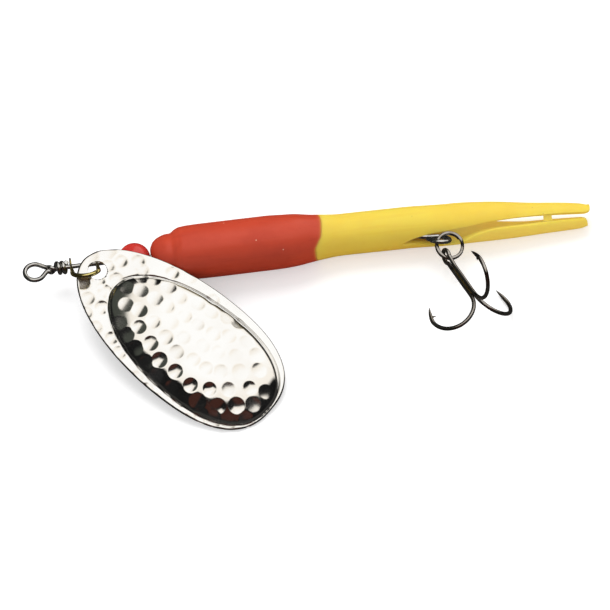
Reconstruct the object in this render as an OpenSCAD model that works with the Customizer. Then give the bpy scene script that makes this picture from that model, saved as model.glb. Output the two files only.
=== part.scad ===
// In-line spinner: a wire shaft with a hammered blade on a clevis, a bead, a soft
// two-colour tube over a hidden weight, a split ring and a treble hook.
// Frame: origin at the centre of the line-tie eye, +X back along the shaft, +Z up.
// The lure lies on its side on a table, so the tube's underside is at z = -tube_d / 2.

/* [Shaft wire] */
// Diameter of the shaft wire
wire_d = 0.85; // [0.7:0.05:0.9]
// Inner diameter of the line-tie eye
tie_eye_bore = 2.8; // [2.4:0.1:3.4]
// Length of the twist between the eye and the wraps
twist_len = 1.3; // [1:0.1:2]
// Turns of the wire's end round the shaft
wrap_turns = 2.25; // [1.25:0.5:3.25]
// Inner diameter of the rear eye
rear_eye_bore = 2.84; // [2.7:0.02:3]

/* [Clevis] */
// Diameter of the clevis wire
clevis_wire_d = 0.85; // [0.7:0.05:0.95]
// Distance between the middles of the two eyelets
clevis_span = 4.85; // [4.6:0.05:5.4]
// Distance from the shaft to the middle of the bow
clevis_reach = 7; // [6.9:0.1:7.6]
// Outer diameter of each flattened eyelet
eyelet_d = 3.3; // [2.9:0.1:3.6]
// Thickness of each flattened eyelet
eyelet_t = 0.3; // [0.25:0.05:0.4]

/* [Blade] */
// Length of the blade
blade_len = 45; // [42:0.5:48]
// Width of the blade
blade_w = 23.2; // [20:0.2:25]
// Thickness of the sheet
blade_t = 0.6; // [0.4:0.05:0.7]
// Diameter of the hole
blade_hole_d = 3.5; // [3.3:0.1:3.8]
// Distance from the blade's front edge to the hole's centre
hole_inset = 3.4; // [3.1:0.1:3.7]
// Length of the domed middle
dome_len = 37; // [33:0.5:37.5]
// Width of the domed middle
dome_w = 20; // [17:0.2:20.4]
// Height of the domed middle
dome_h = 3; // [1.5:0.1:4]

/* [Bead] */
// Diameter of the bead
bead_d = 6; // [5.4:0.1:6.4]
// Free length of the shaft between the clevis and the bead
bead_play = 4.05; // [3.5:0.05:6]

/* [Tube] */
// Diameter of the barrel, where the weight swells the tube
tube_d = 10.2; // [9.6:0.1:10.8]
// Diameter of the collar behind the nose
collar_d = 7.8; // [7:0.1:8]
// Diameter of the slack tube behind the weight
slack_d = 7.8; // [7.4:0.1:8.4]
// Diameter across the two tails at their ends
tail_d = 4.7; // [4.2:0.1:5.4]
// Wall of the tube
tube_wall = 0.9; // [0.7:0.05:1]
// Length of the red head
head_len = 31.4; // [30.6:0.1:33]
// Length of the yellow tail
tail_len = 50.5; // [49:0.5:54]
// Gap between the two tails at their ends
tail_gap = 1.05; // [0.8:0.05:1.3]

/* [Weight] */
// Length of the weight
weight_len = 25.6; // [22:0.2:26.4]
// Length of the spacer sleeve behind the weight
sleeve_len = 10; // [6:0.5:11]
// Outer diameter of the spacer sleeve
sleeve_d = 2; // [1.7:0.1:2.6]

/* [Split ring] */
// Outer diameter of the split ring
ring_d = 5.5; // [5.4:0.05:5.7]
// Width of the ring's wire across the ring
ring_wire_w = 0.64; // [0.55:0.01:0.66]
// Thickness of one coil of the ring
ring_wire_t = 0.42; // [0.36:0.02:0.46]

/* [Treble hook] */
// Diameter of the hook wire
hook_wire_d = 0.78; // [0.7:0.02:0.82]
// Inner diameter of the hook's eye
hook_eye_bore = 1.8; // [1.8:0.05:2]
// Distance from the eye's centre to the middle of the bends
shank_len = 10.8; // [10:0.2:12.4]
// Radius of each bend, to the middle of the wire
bend_r = 4.3; // [3.8:0.1:4.6]
// Distance from the bends' middle back to the points
point_len = 3.25; // [2.6:0.05:3.8]
// Lean of each point towards the shank
point_lean = 1; // [0.6:0.1:1.4]

/* [Clearances] */
// Radial clearance of the clevis, bead, weight and sleeve on the shaft
shaft_fit = 0.06; // [0.03:0.01:0.09]
// Gap between neighbouring pieces that do not fit into each other
gap = 0.15; // [0.1:0.01:0.2]
// Gap between strands of wire that lie against each other
strand_gap = 0.05; // [0.03:0.01:0.08]

/* [Hidden] */
$fn = 48;
brass = "darkkhaki";
steel = "lightslategray";
sides = 8;          // sides of a swept wire
wire_r = wire_d / 2;
bore_r = wire_r + shaft_fit;

// Stations along the shaft
tie_eye_r = (tie_eye_bore + wire_d) / 2;
strand_r = wire_d / 2 + strand_gap / 2;    // a twisted strand's distance from the axis
wrap_r = 2 * strand_r;                     // a wrapped strand's distance from the axis
wrap_pitch = wire_d + strand_gap + 0.02;
twist_start = tie_eye_r + 0.87;
wrap_start = twist_start + twist_len;
wrap_end = wrap_start + wrap_turns * wrap_pitch;
straight_start = wrap_end + wire_r;
eyelet_x = wrap_end + wire_r + gap + eyelet_t / 2;
clevis_mid_x = eyelet_x + clevis_span / 2;
bead_x = eyelet_x + clevis_span + bead_play + bead_d / 2;
nose_x = bead_x + bead_d / 2 + gap;
head_end_x = nose_x + head_len;
tail_end_x = head_end_x + tail_len;
weight_x = nose_x + 2.2;
sleeve_x = weight_x + weight_len + gap;
bend_x = sleeve_x + sleeve_len + gap;

// Places and turns, as the lure lies in the photo
tie_eye_tilt = 7;
clevis_turn = 43.6;                        // the clevis points this far above -Y
clevis_mid_r = (clevis_span) / 2;          // radius of the bow
clevis_arc_t = clevis_reach - clevis_mid_r;
blade_turn = [5.9, 10.6, -46.2];
rear_eye_turn = [136.3, -8.9, -22.6];
rear_eye_r = (rear_eye_bore + wire_d) / 2;
rear_eye_c = [bend_x + 15.46, -3.8, 0.4];
ring_turn = [12.7, 8.7, -1.6];
ring_r = (ring_d - ring_wire_w) / 2;
ring_pitch = ring_wire_t + strand_gap;
ring_in_eye = [-0.19, 0.35, 0];            // where the ring passes through the rear eye
ring_eye_angle = 149.4;                    // where on the ring the rear eye is
ring_hook_angle = 254.8;                     // where on the ring the hook's eye is
hook_turn = [77.3, -15.7, 23];
hook_r = hook_wire_d / 2;
hook_eye_r = (hook_eye_bore + hook_wire_d) / 2;
hook_shank_r = (hook_wire_d + 0.066) / sqrt(3);
hook_angles = [60, 180, -60];

// ---- vectors ----
function unit(v) = v / norm(v);
function turned(v, a) =
    let (x = [v[0], v[1] * cos(a[0]) - v[2] * sin(a[0]), v[1] * sin(a[0]) + v[2] * cos(a[0])])
    let (y = [x[0] * cos(a[1]) + x[2] * sin(a[1]), x[1], x[2] * cos(a[1]) - x[0] * sin(a[1])])
    [y[0] * cos(a[2]) - y[1] * sin(a[2]), y[0] * sin(a[2]) + y[1] * cos(a[2]), y[2]];
function smooth(u) = let (c = min(max(u, 0), 1)) c * c * (3 - 2 * c);
function mix(a, b, u) = a + (b - a) * u;
// A value from a table of [station, value] pairs, eased between neighbours
function eased(t, x, i = 0) =
    x <= t[i][0] ? t[i][1] :
    i == len(t) - 1 ? t[i][1] :
    x < t[i + 1][0] ? mix(t[i][1], t[i + 1][1], smooth((x - t[i][0]) / (t[i + 1][0] - t[i][0]))) :
    eased(t, x, i + 1);
function straight(t, x) = lookup(x, t);
function on_ring(c, a) = c + turned(ring_r * [cos(a), sin(a), 0], ring_turn);

ring_c = on_ring(rear_eye_c + turned(ring_in_eye, rear_eye_turn), ring_eye_angle + 180);
hook_c = on_ring(ring_c, ring_hook_angle) - turned([0, 0, 0.3], hook_turn);

// ---- swept wires ----
function heading(p, i) = unit(p[min(i + 1, len(p) - 1)] - p[max(i - 1, 0)]);
// One side vector for each point, carried along the path without twisting
function sides_along(p, i, s) =
    let (h = heading(p, i), t = unit(s - (s * h) * h))
    i == len(p) - 1 ? [t] : concat([t], sides_along(p, i + 1, t));
function any_side(h) = abs(h[2]) < 0.8 ? cross(h, [0, 0, 1]) : cross(h, [1, 0, 0]);

// A closed skin over m rings of n points, ring after ring
module skin(points, m, n) {
    walls = [for (i = [0:m - 2], k = [0:n - 1])
        let (a = i * n + k, b = i * n + (k + 1) % n) each [[a, b, a + n], [b, b + n, a + n]]];
    first = [for (k = [1:n - 2]) [0, k + 1, k]];
    last = [for (k = [1:n - 2]) [(m - 1) * n, (m - 1) * n + k, (m - 1) * n + k + 1]];
    polyhedron(points, concat(walls, first, last));
}

// A round wire along a path, with a radius for each point
module wire(path, radii) {
    m = len(path);
    s = sides_along(path, 0, any_side(heading(path, 0)));
    points = [for (i = [0:m - 1], k = [0:sides - 1])
        let (u = s[i], v = cross(heading(path, i), u), a = -360 * k / sides)
        path[i] + radii[i] * (u * cos(a) + v * sin(a))];
    skin(points, m, sides);
}

// ---- shaft wire ----
eye_close = atan2(strand_r, twist_start) + acos(tie_eye_r / norm([twist_start, strand_r]));
function tie_plane(x, y) = [x, y * cos(tie_eye_tilt), -y * sin(tie_eye_tilt)];
tie_loop = [for (i = [0:20]) let (a = eye_close + i * (360 - 2 * eye_close) / 20)
    tie_plane(tie_eye_r * cos(a), tie_eye_r * sin(a))];
// Angle round the shaft at station x of the twist and the wraps
function twist_angle(x) =
    -tie_eye_tilt + (x < wrap_start ? 120 * smooth((x - twist_start) / twist_len) :
    120 + 360 * (x - wrap_start) / wrap_pitch);
function about_shaft(x, r, a) = [x, r * cos(a), r * sin(a)];
core_twist = [for (i = [6:-1:0]) let (u = i / 6, x = twist_start + u * twist_len)
    about_shaft(x, strand_r * (1 - smooth(u)), twist_angle(x))];
end_twist = [for (i = [0:5]) let (u = i / 6, x = twist_start + u * twist_len)
    about_shaft(x, mix(strand_r, wrap_r, smooth(u)), twist_angle(x) + 180)];
wraps = [for (i = [0:wrap_turns * 16]) let (x = wrap_start + i * wrap_pitch / 16)
    about_shaft(x, wrap_r, twist_angle(x) + 180)];
front_path = concat([[straight_start + 1, 0, 0], [straight_start - 0.1, 0, 0]],
    core_twist, tie_loop, end_twist, wraps);

rear_local = concat([[-rear_eye_r - 0.5, -0.35, 0]],
    [for (i = [0:18]) let (a = 217 + i * 288 / 18) rear_eye_r * [cos(a), sin(a), 0]],
    [[-rear_eye_r - 0.3, 0.75, 0]]);
rear_root = rear_eye_c + turned([-rear_eye_r - 1.6, -0.1, 0], rear_eye_turn);
rear_pull = 0.9 * norm(rear_root - [bend_x, 0, 0]);
// The wire's bend from the shaft to the rear eye, as one curve
function bent(u) = let (a = 2 * u * u * u - 3 * u * u + 1, b = u * u * u - 2 * u * u + u)
    a * [bend_x, 0, 0] + b * [rear_pull, 0, 0] + (1 - a) * rear_root
    + (u * u * u - u * u) * rear_pull * turned([1, 0, 0], rear_eye_turn);
rear_path = concat([[bend_x - 1, 0, 0]], [for (i = [0:9]) bent(i / 9)],
    [for (p = rear_local) rear_eye_c + turned(p, rear_eye_turn)]);

module shaft_wire() color(steel) {
    translate([straight_start, 0, 0]) rotate([0, 90, 0]) cylinder(r = wire_r, h = bend_x - straight_start);
    wire(front_path, [for (i = [0:len(front_path) - 1]) i < 2 ? wire_r * 0.94 : wire_r]);
    wire(rear_path, [for (i = [0:len(rear_path) - 1]) i < 2 ? wire_r * 0.94 : wire_r]);
}

// ---- clevis ----
module in_clevis() translate([clevis_mid_x, 0, 0]) rotate([-clevis_turn, 0, 0]) rotate([0, 0, 180]) children();
module clevis() color(brass) in_clevis() difference() {
    union() {
        for (side = [-1, 1]) translate([side * clevis_span / 2, 0, 0]) {
            rotate([0, 90, 0]) cylinder(d = eyelet_d, h = eyelet_t, center = true);
            translate([0, eyelet_d / 2 - 0.25, 0]) rotate([-90, 0, 0])
                cylinder(d = clevis_wire_d, h = clevis_arc_t - eyelet_d / 2 + 0.25);
        }
        translate([0, clevis_arc_t, 0]) rotate_extrude(angle = 180)
            translate([clevis_mid_r, 0]) circle(d = clevis_wire_d);
    }
    rotate([0, 90, 0]) cylinder(r = bore_r, h = clevis_span * 2, center = true);
}

// ---- blade ----
blade_side = 56;
dome_front = 7.83;                         // from the blade's front edge to the dome's
dome_drift = -0.35;                        // the dome sits off the middle line
// Half width at a share s of the length, widest at share top, with its two roundings
function oval(s, top, front, rear) =
    s < top ? pow(1 - pow((top - s) / top, front), 1 / 2) : pow(1 - pow((s - top) / (1 - top), rear), 1 / rear);
function outline(a) = let (s = (1 - cos(a)) / 2)
    [blade_len * s - hole_inset, sign(sin(a)) * blade_w / 2 * oval(s, 0.58, 1.9, 2.5)];
function dome_edge(a) = let (s = (1 - cos(a)) / 2)
    [dome_len * s + dome_front - hole_inset,
     dome_drift + sign(sin(a)) * dome_w / 2 * oval(s, 0.565, 2.1, 2.3)];
dome_c = [dome_front - hole_inset + dome_len * 0.54, dome_drift];
dome_steps = [0.25, 0.5, 0.7, 0.85, 0.95, 1];
function ring_points(a) = concat(
    [for (u = dome_steps) let (q = mix(dome_c, dome_edge(a), u)) [q[0], q[1], dome_h * (1 - pow(u, 2.4))]],
    [let (q = outline(a)) [q[0], q[1], 0]]);
blade_rows = len(dome_steps) + 1;
blade_top = [for (i = [0:blade_side - 1]) ring_points(360 * (i + 0.5) / blade_side)];
blade_points = concat(
    [for (z = [1, -1]) [dome_c[0], dome_c[1], dome_h + z * blade_t / 2]],
    [for (z = [1, -1], r = blade_top, p = r) [p[0], p[1], p[2] + z * blade_t / 2]]);
function bp(i, j, lower) = 2 + lower * blade_side * blade_rows + (i % blade_side) * blade_rows + j;
blade_faces = concat(
    [for (i = [0:blade_side - 1]) each [[0, bp(i, 0, 0), bp(i + 1, 0, 0)], [1, bp(i + 1, 0, 1), bp(i, 0, 1)]]],
    [for (i = [0:blade_side - 1], j = [0:blade_rows - 2]) each [
        [bp(i, j, 0), bp(i + 1, j + 1, 0), bp(i + 1, j, 0)], [bp(i, j, 0), bp(i, j + 1, 0), bp(i + 1, j + 1, 0)],
        [bp(i, j, 1), bp(i + 1, j, 1), bp(i + 1, j + 1, 1)], [bp(i, j, 1), bp(i + 1, j + 1, 1), bp(i, j + 1, 1)]]],
    [for (i = [0:blade_side - 1]) let (j = blade_rows - 1) each [
        [bp(i, j, 0), bp(i + 1, j, 1), bp(i + 1, j, 0)], [bp(i, j, 0), bp(i, j, 1), bp(i + 1, j, 1)]]]);
// The blade rests on the bead: the sheet's middle passes this far from the shaft there
blade_normal = turned([0, 0, 1], blade_turn);
out_dir = [0, -cos(clevis_turn), sin(clevis_turn)];
hole_x = clevis_mid_x + 2.2;
bead_touch = bead_d / 2 + blade_t / 2 + gap + 0.06;
hole_out = (bead_touch + blade_normal[0] * (bead_x + 0.3 - hole_x)) / (blade_normal * out_dir);
hole_c = [hole_x, 0, 0] + hole_out * out_dir;
module spinner_blade() color("silver") translate(hole_c) rotate(blade_turn) difference() {
    polyhedron(blade_points, blade_faces);
    cylinder(d = blade_hole_d, h = 4, center = true);
}

// ---- bead, weight and sleeve ----
module along_shaft(x) translate([x, 0, 0]) rotate([0, 90, 0]) children();
module bearing_bead() color("crimson") along_shaft(bead_x) difference() {
    sphere(d = bead_d, $fn = 64);
    cylinder(r = bore_r, h = bead_d * 2, center = true);
}
weight_r = tube_d / 2 - tube_wall - gap;
weight_nose_r = collar_d / 2 - tube_wall - gap / 2;
module body_weight() color("dimgray") along_shaft(weight_x) rotate_extrude() polygon([
    [bore_r, 0], [weight_nose_r - 0.9, 0], [weight_nose_r, 0.9], [weight_nose_r, 1.9],
    [weight_r - 0.5, 3.9], [weight_r, 6.4], [weight_r, weight_len - 7.6], [weight_r - 0.15, weight_len - 5],
    [weight_r - 0.45, weight_len - 2], [weight_r - 1.1, weight_len], [bore_r, weight_len]]);
module spacer_sleeve() color(brass) along_shaft(sleeve_x) difference() {
    cylinder(d = sleeve_d, h = sleeve_len);
    translate([0, 0, -1]) cylinder(r = bore_r, h = sleeve_len + 2);
}

// ---- tube ----
tube_side = 24;
// Outer radius, sideways shift and sag of the tube, at stations behind the nose
tube_table = [
    [0, 1.6], [0.45, 2.6], [1.6, collar_d / 2 - 0.45], [3, collar_d / 2], [3.8, collar_d / 2 + 0.02],
    [4.8, tube_d / 2 - 0.5], [6, tube_d / 2 - 0.15], [9, tube_d / 2], [21.5, tube_d / 2],
    [26.5, tube_d / 2 - 0.2], [31, slack_d / 2 + 0.4], [36, slack_d / 2], [56, slack_d / 2],
    [63, slack_d / 2 - 0.2], [72, 3], [tail_end_x - nose_x - 1.5, tail_d / 2],
    [tail_end_x - nose_x, tail_d / 2 - 0.5]];
drift_table = [[24, 0], [36, 0.6], [47, 0.45], [57, 0], [72, -0.4], [tail_end_x - nose_x, -0.55]];
function tube_r(x) = straight(tube_table, x - nose_x);
function tube_rest(x) = x - nose_x < 14 ? 0 : tube_r(min(x, tail_end_x - 1.5)) - tube_d / 2;
function tube_c(x) = [x, eased(drift_table, x - nose_x), tube_rest(x)];
function tube_ring(x, r) = [for (k = [0:tube_side - 1]) let (a = -360 * (k + 0.5) / tube_side)
    tube_c(x) + [0, r * cos(a), r * sin(a)]];
// Stations of a stretch from a to b
function stations(a, b, n) = [for (i = [0:n]) mix(a, b, i / n)];
module tube_solid(xs, shrink) skin([for (x = xs) each tube_ring(x, tube_r(x) - shrink)], len(xs), tube_side);

head_xs = concat([for (x = [0, 0.45, 1.6, 3, 3.8, 4.8, 6, 9, 14]) nose_x + x], stations(nose_x + 21.5, head_end_x, 5));
cavity_xs = concat([for (x = [0, 0.9, 1.9, 3.9, 6.4]) weight_x - gap / 2 + x], stations(nose_x + 14, head_end_x + 1, 8));
function cavity_r(x) = let (s = x - weight_x + gap / 2)
    s < 0.1 ? weight_nose_r - 0.9 + gap / 2 : s < 3 ? min(tube_r(x) - tube_wall, weight_nose_r + gap / 2) :
    s < 5 ? weight_r - 0.5 + gap / 2 : tube_r(x) - tube_wall;
module tube_head() color("tomato") difference() {
    tube_solid(head_xs, 0);
    skin([for (x = cavity_xs) each tube_ring(x, cavity_r(x))], len(cavity_xs), tube_side);
    along_shaft(nose_x - 1) cylinder(r = bore_r, h = 8);
}

// Angles of the lips of the near slit, round the tube from +Y, at stations behind the nose
slit_x = 46.4;
near_upper = [[slit_x, 169], [49.5, 146], [52, 139], [55, 135], [58.5, 131], [62.5, 121], [66, 115], [82, 103]];
near_lower = [[slit_x, 171], [49.5, 177], [53, 188], [56, 188], [58.5, 180], [61, 160], [66, 128], [82, 128]];
far_middle = 299;
far_x = 65;
module slit(xs, angles) skin([for (x = xs) let (c = tube_c(x), r = tube_d, w = angles(x))
    each [c, c + r * [0, cos(w[1]), sin(w[1])], c + 1.2 * r * [0, cos((w[0] + w[1]) / 2), sin((w[0] + w[1]) / 2)],
          c + r * [0, cos(w[0]), sin(w[0])]]], len(xs), 4);
near_angles = function (x) let (s = x - nose_x) [straight(near_upper, s), straight(near_lower, s)];
far_angles = function (x) let (u = (x - nose_x - far_x) / (tail_end_x - nose_x - far_x),
    h = mix(0.4, asin(tail_gap / tail_d), min(max(u * 3, 0), 1))) [far_middle - h, far_middle + h];
tail_xs = concat(stations(head_end_x + strand_gap, nose_x + 56, 6), stations(nose_x + 58, tail_end_x - 1.5, 8), [tail_end_x]);
module tube_tail() color("gold") {
    difference() {
        tube_solid(tail_xs, 0);
        skin([for (x = concat([head_end_x - 1], tail_xs, [tail_end_x + 1]))
            each tube_ring(x, tube_r(x) - tube_wall)], len(tail_xs) + 2, tube_side);
        slit(concat(stations(nose_x + slit_x, nose_x + 66, 14), [tail_end_x + 1]), near_angles);
        slit(concat(stations(nose_x + far_x, tail_end_x - 12, 3), [tail_end_x + 1]), far_angles);
    }
    // The web that still joins the two tails
    translate(tube_c(tail_end_x - 8.2) + [0, -0.55, 1.85]) rotate([26, 0, 0]) cube([1.6, 2.4, 0.5], center = true);
}

// ---- split ring ----
ring_jog = 30;                             // the coils change level over twice this angle
ring_start = 4;                            // where on the ring the coils change level
ring_turns = [for (a = [ring_jog:10:720 - ring_jog]) a];
function coil_z(a) = ring_pitch * (smooth((a - 360 + ring_jog) / (2 * ring_jog)) - 0.5);
module split_ring() color(steel) translate(ring_c) rotate(ring_turn) skin([for (a = ring_turns,
    c = [[-1, -1], [1, -1], [1, 1], [-1, 1]])
    let (r = ring_r + c[0] * ring_wire_w / 2, z = coil_z(a) + c[1] * ring_wire_t / 2)
    [r * cos(a + ring_start), r * sin(a + ring_start), z]], len(ring_turns), 4);

// ---- treble hook ----
bend_c = hook_shank_r + bend_r;
// One hook from the shank's top to the point, in the plane of the shank and the point
function hook_profile(top) = concat([[hook_shank_r, top], [hook_shank_r, shank_len * 0.45]],
    [for (i = [0:14]) let (a = 180 - i * 180 / 14) [bend_c + bend_r * cos(a), shank_len + bend_r * sin(a)]],
    [[bend_c + bend_r - 0.42 * point_lean, shank_len - point_len * 0.55],
     [bend_c + bend_r - point_lean, shank_len - point_len]]);
hook_radii = [for (i = [0:18]) i < 16 ? hook_r : i == 16 ? hook_r : i == 17 ? hook_r * 0.78 : 0.04];
function hook_path(a, top) = [for (p = hook_profile(top)) [p[0] * cos(a), p[0] * sin(a), p[1]]];
hook_eye_turn = hook_angles[0];
hook_eye = [for (i = [0:16]) let (a = 48 + i * 264 / 16)
    [hook_eye_r * sin(a) * cos(hook_eye_turn), hook_eye_r * sin(a) * sin(hook_eye_turn), hook_eye_r * cos(a)]];
function reversed(p) = [for (i = [len(p) - 1:-1:0]) p[i]];
shank_top = hook_eye_r + 1.9;
pair_a = hook_path(hook_angles[0], shank_top);
pair_b = hook_path(hook_angles[1], shank_top);
pair_path = concat(reversed(pair_a), hook_eye, pair_b);
pair_radii = concat(reversed(hook_radii), [for (p = hook_eye) hook_r], hook_radii);
module in_hook() translate(hook_c) rotate(hook_turn) children();
module treble_pair_wire() color(steel) in_hook() wire(pair_path, pair_radii);
module treble_third_hook() color(steel) in_hook() wire(hook_path(hook_angles[2], shank_top), hook_radii);
module treble_braze() color(brass) in_hook() difference() {
    translate([0, 0, shank_top + 0.2]) cylinder(r = hook_shank_r + 0.05, h = shank_len - shank_top - 0.8);
    for (a = hook_angles) rotate([0, 0, a]) translate([hook_shank_r, 0, 0])
        cylinder(r = hook_r + 0.005, h = shank_len * 2);
}

shaft_wire();
clevis();
spinner_blade();
bearing_bead();
body_weight();
spacer_sleeve();
tube_head();
tube_tail();
split_ring();
treble_pair_wire();
treble_third_hook();
treble_braze();
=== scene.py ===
import math

import bmesh
import bpy
import numpy as np
from bpy.props import FloatProperty, FloatVectorProperty, PointerProperty
from mathutils import Euler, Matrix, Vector


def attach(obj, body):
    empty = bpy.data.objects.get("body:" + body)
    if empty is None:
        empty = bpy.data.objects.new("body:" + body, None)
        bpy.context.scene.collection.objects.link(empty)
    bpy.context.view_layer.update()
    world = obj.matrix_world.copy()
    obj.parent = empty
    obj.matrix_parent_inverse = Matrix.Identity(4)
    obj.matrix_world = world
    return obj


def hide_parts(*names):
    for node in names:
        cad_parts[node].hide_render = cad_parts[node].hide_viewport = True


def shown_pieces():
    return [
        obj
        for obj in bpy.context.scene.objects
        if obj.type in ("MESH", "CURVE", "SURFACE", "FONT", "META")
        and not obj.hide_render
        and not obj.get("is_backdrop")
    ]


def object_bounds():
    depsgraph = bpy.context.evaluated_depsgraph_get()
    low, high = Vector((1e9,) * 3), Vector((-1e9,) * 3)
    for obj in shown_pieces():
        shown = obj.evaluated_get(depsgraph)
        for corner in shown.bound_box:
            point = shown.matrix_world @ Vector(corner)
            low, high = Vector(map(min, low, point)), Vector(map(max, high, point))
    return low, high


bl_info = {
    "name": "In-line spinner",
    "version": (1, 0, 0),
    "blender": (4, 5, 0),
    "location": "View3D > Sidebar > Spinner",
    "description": "Makes an in-line spinner with a hammered blade and a soft split tube",
    "category": "Add Mesh",
}

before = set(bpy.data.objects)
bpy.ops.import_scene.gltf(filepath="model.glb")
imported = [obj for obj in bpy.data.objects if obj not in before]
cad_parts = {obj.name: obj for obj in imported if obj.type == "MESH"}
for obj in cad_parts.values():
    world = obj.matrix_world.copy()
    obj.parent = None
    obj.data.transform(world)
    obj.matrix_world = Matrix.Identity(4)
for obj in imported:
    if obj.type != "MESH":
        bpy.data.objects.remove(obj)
CAD_BOX = [list(corner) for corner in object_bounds()]
MM = 0.001

# ---- places that the frame's source gives, in mm and degrees ----
TIE_EYE_TILT = 7.0
EYELET_X = 6.79
CLEVIS_SPAN = 4.85
CLEVIS_REACH = 7.0
CLEVIS_TURN = 43.6
HOLE_CENTRE = (11.415, -3.44475, 3.28039)
BLADE_TURN = (5.9, 10.6, -46.2)
BEAD_X = 18.69
NOSE_X = 21.84
COLOUR_X = 53.24
TAIL_X = 103.74
BEND_X = 59.94
TIE_EYE_BORE = 2.8
REAR_EYE_BORE = 2.84
SHAFT_BORE = 0.485
HOOK_GAP = 0.066
WEB_FROM_TIP = 7.65
WEB_SHIFT = (-0.8, 1.7)
REAR_EYE = (75.4, -3.8, 0.4)
REAR_EYE_TURN = (136.3, -8.9, -22.6)
RING_CENTRE = (77.0868, -5.20991, 0.0243106)
RING_TURN = (12.7, 8.7, -1.6)
HOOK_EYE = (76.2176, -7.20051, -0.452417)
HOOK_TURN = (77.3, -15.7, 23.0)
HOOK_ANGLES = (60, 180, -60)

# Centres of the hammer marks on the blade's domed part, along and across the blade from its hole, in mm.
# They are where the photograph shows them.
DOME_MARKS = (
    (6.3, 0.5), (8.5, -2.3), (9.7, -5.7), (12.2, -6.7), (15.2, -7.7), (18.4, -8.7), (21.5, -9.3), (25.1, -9.3),
    (27.6, -9.7), (30.6, -8.2), (34.1, -6.5), (36.6, -4.1), (38.8, -1.8), (39.0, 1.6), (8.9, 1.6),
    (11.2, -1.6), (13.2, -4.2), (16.9, -5.3), (20.2, -6.7), (23.9, -6.5), (27.7, -6.7), (30.9, -5.1),
    (33.5, -2.8), (36.3, 0.1), (9.3, 5.0), (12.1, 2.0), (14.7, -1.8), (18.3, -2.7), (21.7, -3.6), (25.0, -2.7),
    (27.9, -2.5), (30.3, -1.2), (32.9, 1.2), (35.3, 3.9), (12.4, 5.6), (14.8, 2.2), (17.2, 0.2), (20.9, -0.6),
    (24.6, 0.4), (27.6, 1.4), (30.4, 3.1), (33.1, 6.0), (15.3, 5.2), (18.4, 2.8), (21.2, 3.1), (24.6, 3.7),
    (27.0, 5.2), (30.1, 6.7), (18.6, 6.5), (21.6, 6.8), (24.4, 7.9), (26.5, 8.7), (32.6, -9.5), (34.9, -8.6),
    (37.3, -7.1), (39.5, -4.8), (7.2, 4.1), (19.9, 9.5),
)
# The same on its flat rim
RIM_MARKS = (
    (-2.7, 1.4), (-0.7, 4.2), (2.1, 4.2), (4.5, 6.3), (0.9, 1.9), (-0.5, -3.7), (1.4, -1.6),
    (3.7, 0.9), (2.1, -5.4), (3.6, -2.3), (5.2, -5.1), (3.6, -7.9), (6.8, -8.8), (6.2, 5.4), (13.8, 10.2),
    (10.8, 8.7), (10.4, -8.5), (13.3, -9.7), (18.8, -11.4), (21.6, -12.0), (24.3, -12.3), (27.5, -12.4),
    (31.0, -11.9), (34.2, -10.9),
)

# ---- the photograph's 610 by 610 frame, and the camera ----
IMAGE_SIZE = (610, 610)
# The camera, settled by named points in the photograph: where it aims, from where, and how wide it sees
CAMERA_AIM = (48.71, -14.12, 0.0)
CAMERA_AZIMUTH = -7.9
CAMERA_ELEVATION = 60.0
CAMERA_LENS = 600.0
CAMERA_SENSOR = 36.0
CAMERA_SEES = 112.96


class SpinnerSizes(bpy.types.PropertyGroup):
    wire: FloatProperty(name="Shaft wire", description="Diameter of the shaft wire",
                        default=0.00085, unit="LENGTH", precision=5)
    clevis_wire: FloatProperty(name="Clevis wire", description="Diameter of the clevis wire",
                               default=0.00085, unit="LENGTH", precision=5)
    blade_length: FloatProperty(name="Blade length", description="Length of the blade",
                                default=0.045, unit="LENGTH")
    blade_width: FloatProperty(name="Blade width", description="Width of the blade",
                               default=0.0232, unit="LENGTH")
    blade_sheet: FloatProperty(name="Blade sheet", description="Thickness of the blade's sheet",
                               default=0.0006, unit="LENGTH", precision=5)
    dome_height: FloatProperty(name="Dome height", description="Height of the blade's domed middle",
                               default=0.003, unit="LENGTH", precision=4)
    dent_size: FloatProperty(name="Dent size", description="Diameter of one hammered dent",
                             default=0.0028, unit="LENGTH", precision=4)
    dent_depth: FloatProperty(name="Dent depth", description="Depth of one hammered dent",
                              default=0.00026, unit="LENGTH", precision=5)
    bead: FloatProperty(name="Bead", description="Diameter of the bead", default=0.006, unit="LENGTH")
    tube_wall: FloatProperty(name="Tube wall", description="Wall of the soft tube",
                             default=0.0009, unit="LENGTH", precision=4)
    ring: FloatProperty(name="Split ring", description="Outer diameter of the split ring",
                        default=0.0055, unit="LENGTH", precision=4)
    hook_wire: FloatProperty(name="Hook wire", description="Diameter of the hook wire",
                             default=0.00078, unit="LENGTH", precision=5)


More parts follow.
